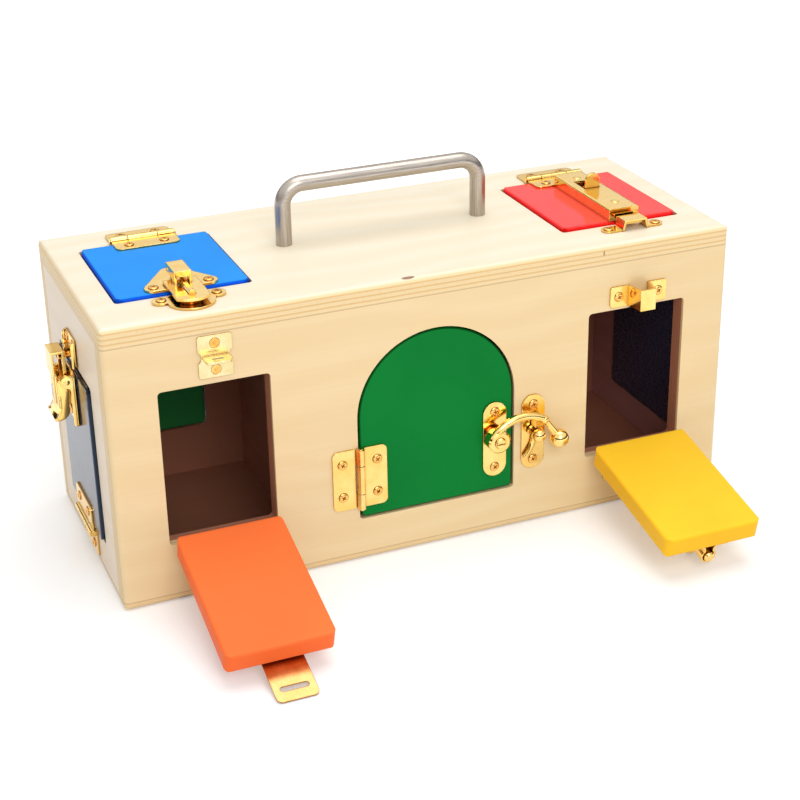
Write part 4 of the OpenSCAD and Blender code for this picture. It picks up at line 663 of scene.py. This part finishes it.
# colour, roughness, specular level, painted edge shade, the way the broad sides face, seed
paints = {
    "orange_door": ((0.975, 0.187, 0.045), 0.42, 0.08, 0.15, (0.0, -0.281, 0.960), 1.0),
    "yellow_door": ((0.97, 0.570, 0.026), 0.42, 0.10, 0.15, (0.0, -0.201, 0.980), 2.0),
    "green_door": ((0.0038, 0.200, 0.0335), 0.45, 0.05, 0.80, front, 3.0),
    "blue_lid": ((0.020, 0.280, 0.83), 0.35, 0.05, 0.95, lid, 4.0),
    "red_lid": ((0.90, 0.046, 0.040), 0.14, 0.20, 0.90, lid, 5.0),
    "left_door": ((0.018, 0.026, 0.075), 0.12, 0.5, 1.0, end, 6.0),
    "right_door": ((0.028, 0.041, 0.095), 0.25, 0.4, 1.0, end, 7.0),
    "back_door": ((0.025, 0.195, 0.048), 0.45, 0.05, 0.80, front, 8.0),
}
for door, (colour, rough, gloss, edge_shade, faces, seed) in paints.items():
    wear(frame["nodes"][door], nursery_paint("paint_" + door, colour, rough, gloss, edge_shade, faces, seed))
navy_shader = bpy.data.materials["paint_left_door"].node_tree.nodes["Principled BSDF"]
navy_shader.inputs["Specular Tint"].default_value = (0.55, 0.75, 1.0, 1.0)


# Studio
# A white paper sweep under two large soft lamps, with white light all round. Dark
# cards that only polished metal sees give the brass and steel their shape.
paper_white, glow_near, glow_far = (0.80, 0.80, 0.80), 0.25, 0.95
sky_light, sky_extra_when_seen = 0.63, 0.37


def stage_finish(name, colour, near_glow=0.0, far_glow=0.0):
    """A matt finish, which can also glow where the camera or a reflection sees it."""
    finish, tree, shader = new_finish(name)
    shader.inputs["Base Color"].default_value = (*colour, 1.0)
    shader.inputs["Roughness"].default_value = 0.9
    shader.inputs["Specular IOR Level"].default_value = 0.0
    shader.inputs["Emission Color"].default_value = (1.0, 1.0, 1.0, 1.0)
    if far_glow:
        rays = add(tree, "LightPath").outputs
        seen = reckon(tree, "MAXIMUM", rays["Is Camera Ray"], rays["Is Glossy Ray"])
        out = add(tree, "VectorMath", {0: add(tree, "TexCoord").outputs["Object"]}, operation="LENGTH").outputs["Value"]
        glow = reckon(tree, "MULTIPLY", seen, ramp(tree, out, 0.35, 1.1, near_glow, far_glow))
        tree.links.new(glow, shader.inputs["Emission Strength"])
    return finish


bpy.ops.object.select_all(action="DESELECT")
bpy.ops.mesh.primitive_circle_add(vertices=96, radius=6.0, fill_type="NGON", location=(0.0, 0.0, -0.0002))
floor = bpy.context.object
floor.name = "studio_floor"
wear(floor, stage_finish("white_paper", paper_white, glow_near, glow_far))


def dark_card(name, colour):
    """Make the object in hand a card that only reflections see."""
    card = bpy.context.object
    card.name = name
    wear(card, stage_finish(name + "_cloth", colour))
    card.visible_camera = card.visible_diffuse = card.visible_shadow = card.visible_transmission = False


bpy.ops.object.select_all(action="DESELECT")
bpy.ops.mesh.primitive_cylinder_add(vertices=96, radius=5.0, depth=1.5, end_fill_type="NOTHING",
                                    location=(0.0, 0.0, 0.80))
dark_card("room_beyond", (0.045, 0.030, 0.020))
bpy.ops.object.select_all(action="DESELECT")
bpy.ops.mesh.primitive_plane_add(size=1.0, location=(0.75, 1.05, 2.0),
                                 rotation=(math.radians(-28.0), math.radians(20.0), 0.0))
bpy.context.object.scale = (1.6, 1.0, 1.0)
dark_card("ceiling_flag", (0.50, 0.44, 0.37))

world = bpy.data.worlds.new("studio_white")
bpy.context.scene.world = world
world.use_nodes = True
sky = world.node_tree
sky_rays = add(sky, "LightPath").outputs
sky_seen = reckon(sky, "MAXIMUM", sky_rays["Is Camera Ray"],
                  reckon(sky, "MAXIMUM", sky_rays["Is Glossy Ray"], sky_rays["Is Transmission Ray"]))
sky_glow = sky.nodes["Background"]
sky_glow.inputs["Color"].default_value = (1.0, 1.0, 1.0, 1.0)
sky.links.new(reckon(sky, "MULTIPLY_ADD", sky_seen, sky_extra_when_seen, sky_light), sky_glow.inputs["Strength"])


def soft_lamp(name, place, aim, size, power):
    lamp = bpy.data.lights.new(name, "AREA")
    lamp.shape, lamp.size, lamp.energy = "DISK", size, power
    holder = bpy.data.objects.new(name, lamp)
    bpy.context.scene.collection.objects.link(holder)
    holder.location = place
    holder.rotation_euler = (Vector(aim) - Vector(place)).to_track_quat("-Z", "Y").to_euler()


soft_lamp("key_softbox", place=(-0.20, -1.7, 1.15), aim=(0.0, 0.0, 0.08), size=1.1, power=14.0)
soft_lamp("top_softbox", place=(0.2, 0.0, 1.9), aim=(0.0, 0.0, 0.1), size=1.6, power=17.0)


# Camera
# It stands where the photograph was taken from: left of the front, a little above
# the box, and tipped by about a degree, behind a long lens.
azimuth, elevation, roll = map(math.radians, (-21.875, 25.518, -1.111))
camera_place = (-0.3737, -0.9533, 0.5530)
back = Vector((math.sin(azimuth) * math.cos(elevation), -math.cos(azimuth) * math.cos(elevation), math.sin(elevation)))
level = Vector((math.cos(azimuth), math.sin(azimuth), 0.0))
right = math.cos(roll) * level + math.sin(roll) * back.cross(level)
lens = bpy.data.cameras.new("camera")
lens.lens, lens.sensor_width, lens.clip_start = 78.48, 36.0, 0.01
camera = bpy.data.objects.new("camera", lens)
bpy.context.scene.collection.objects.link(camera)
camera.matrix_world = Matrix.Translation(camera_place) @ Matrix((right, back.cross(right), back)).transposed().to_4x4()
bpy.context.scene.camera = camera
bpy.context.scene.view_settings.view_transform = "Standard"
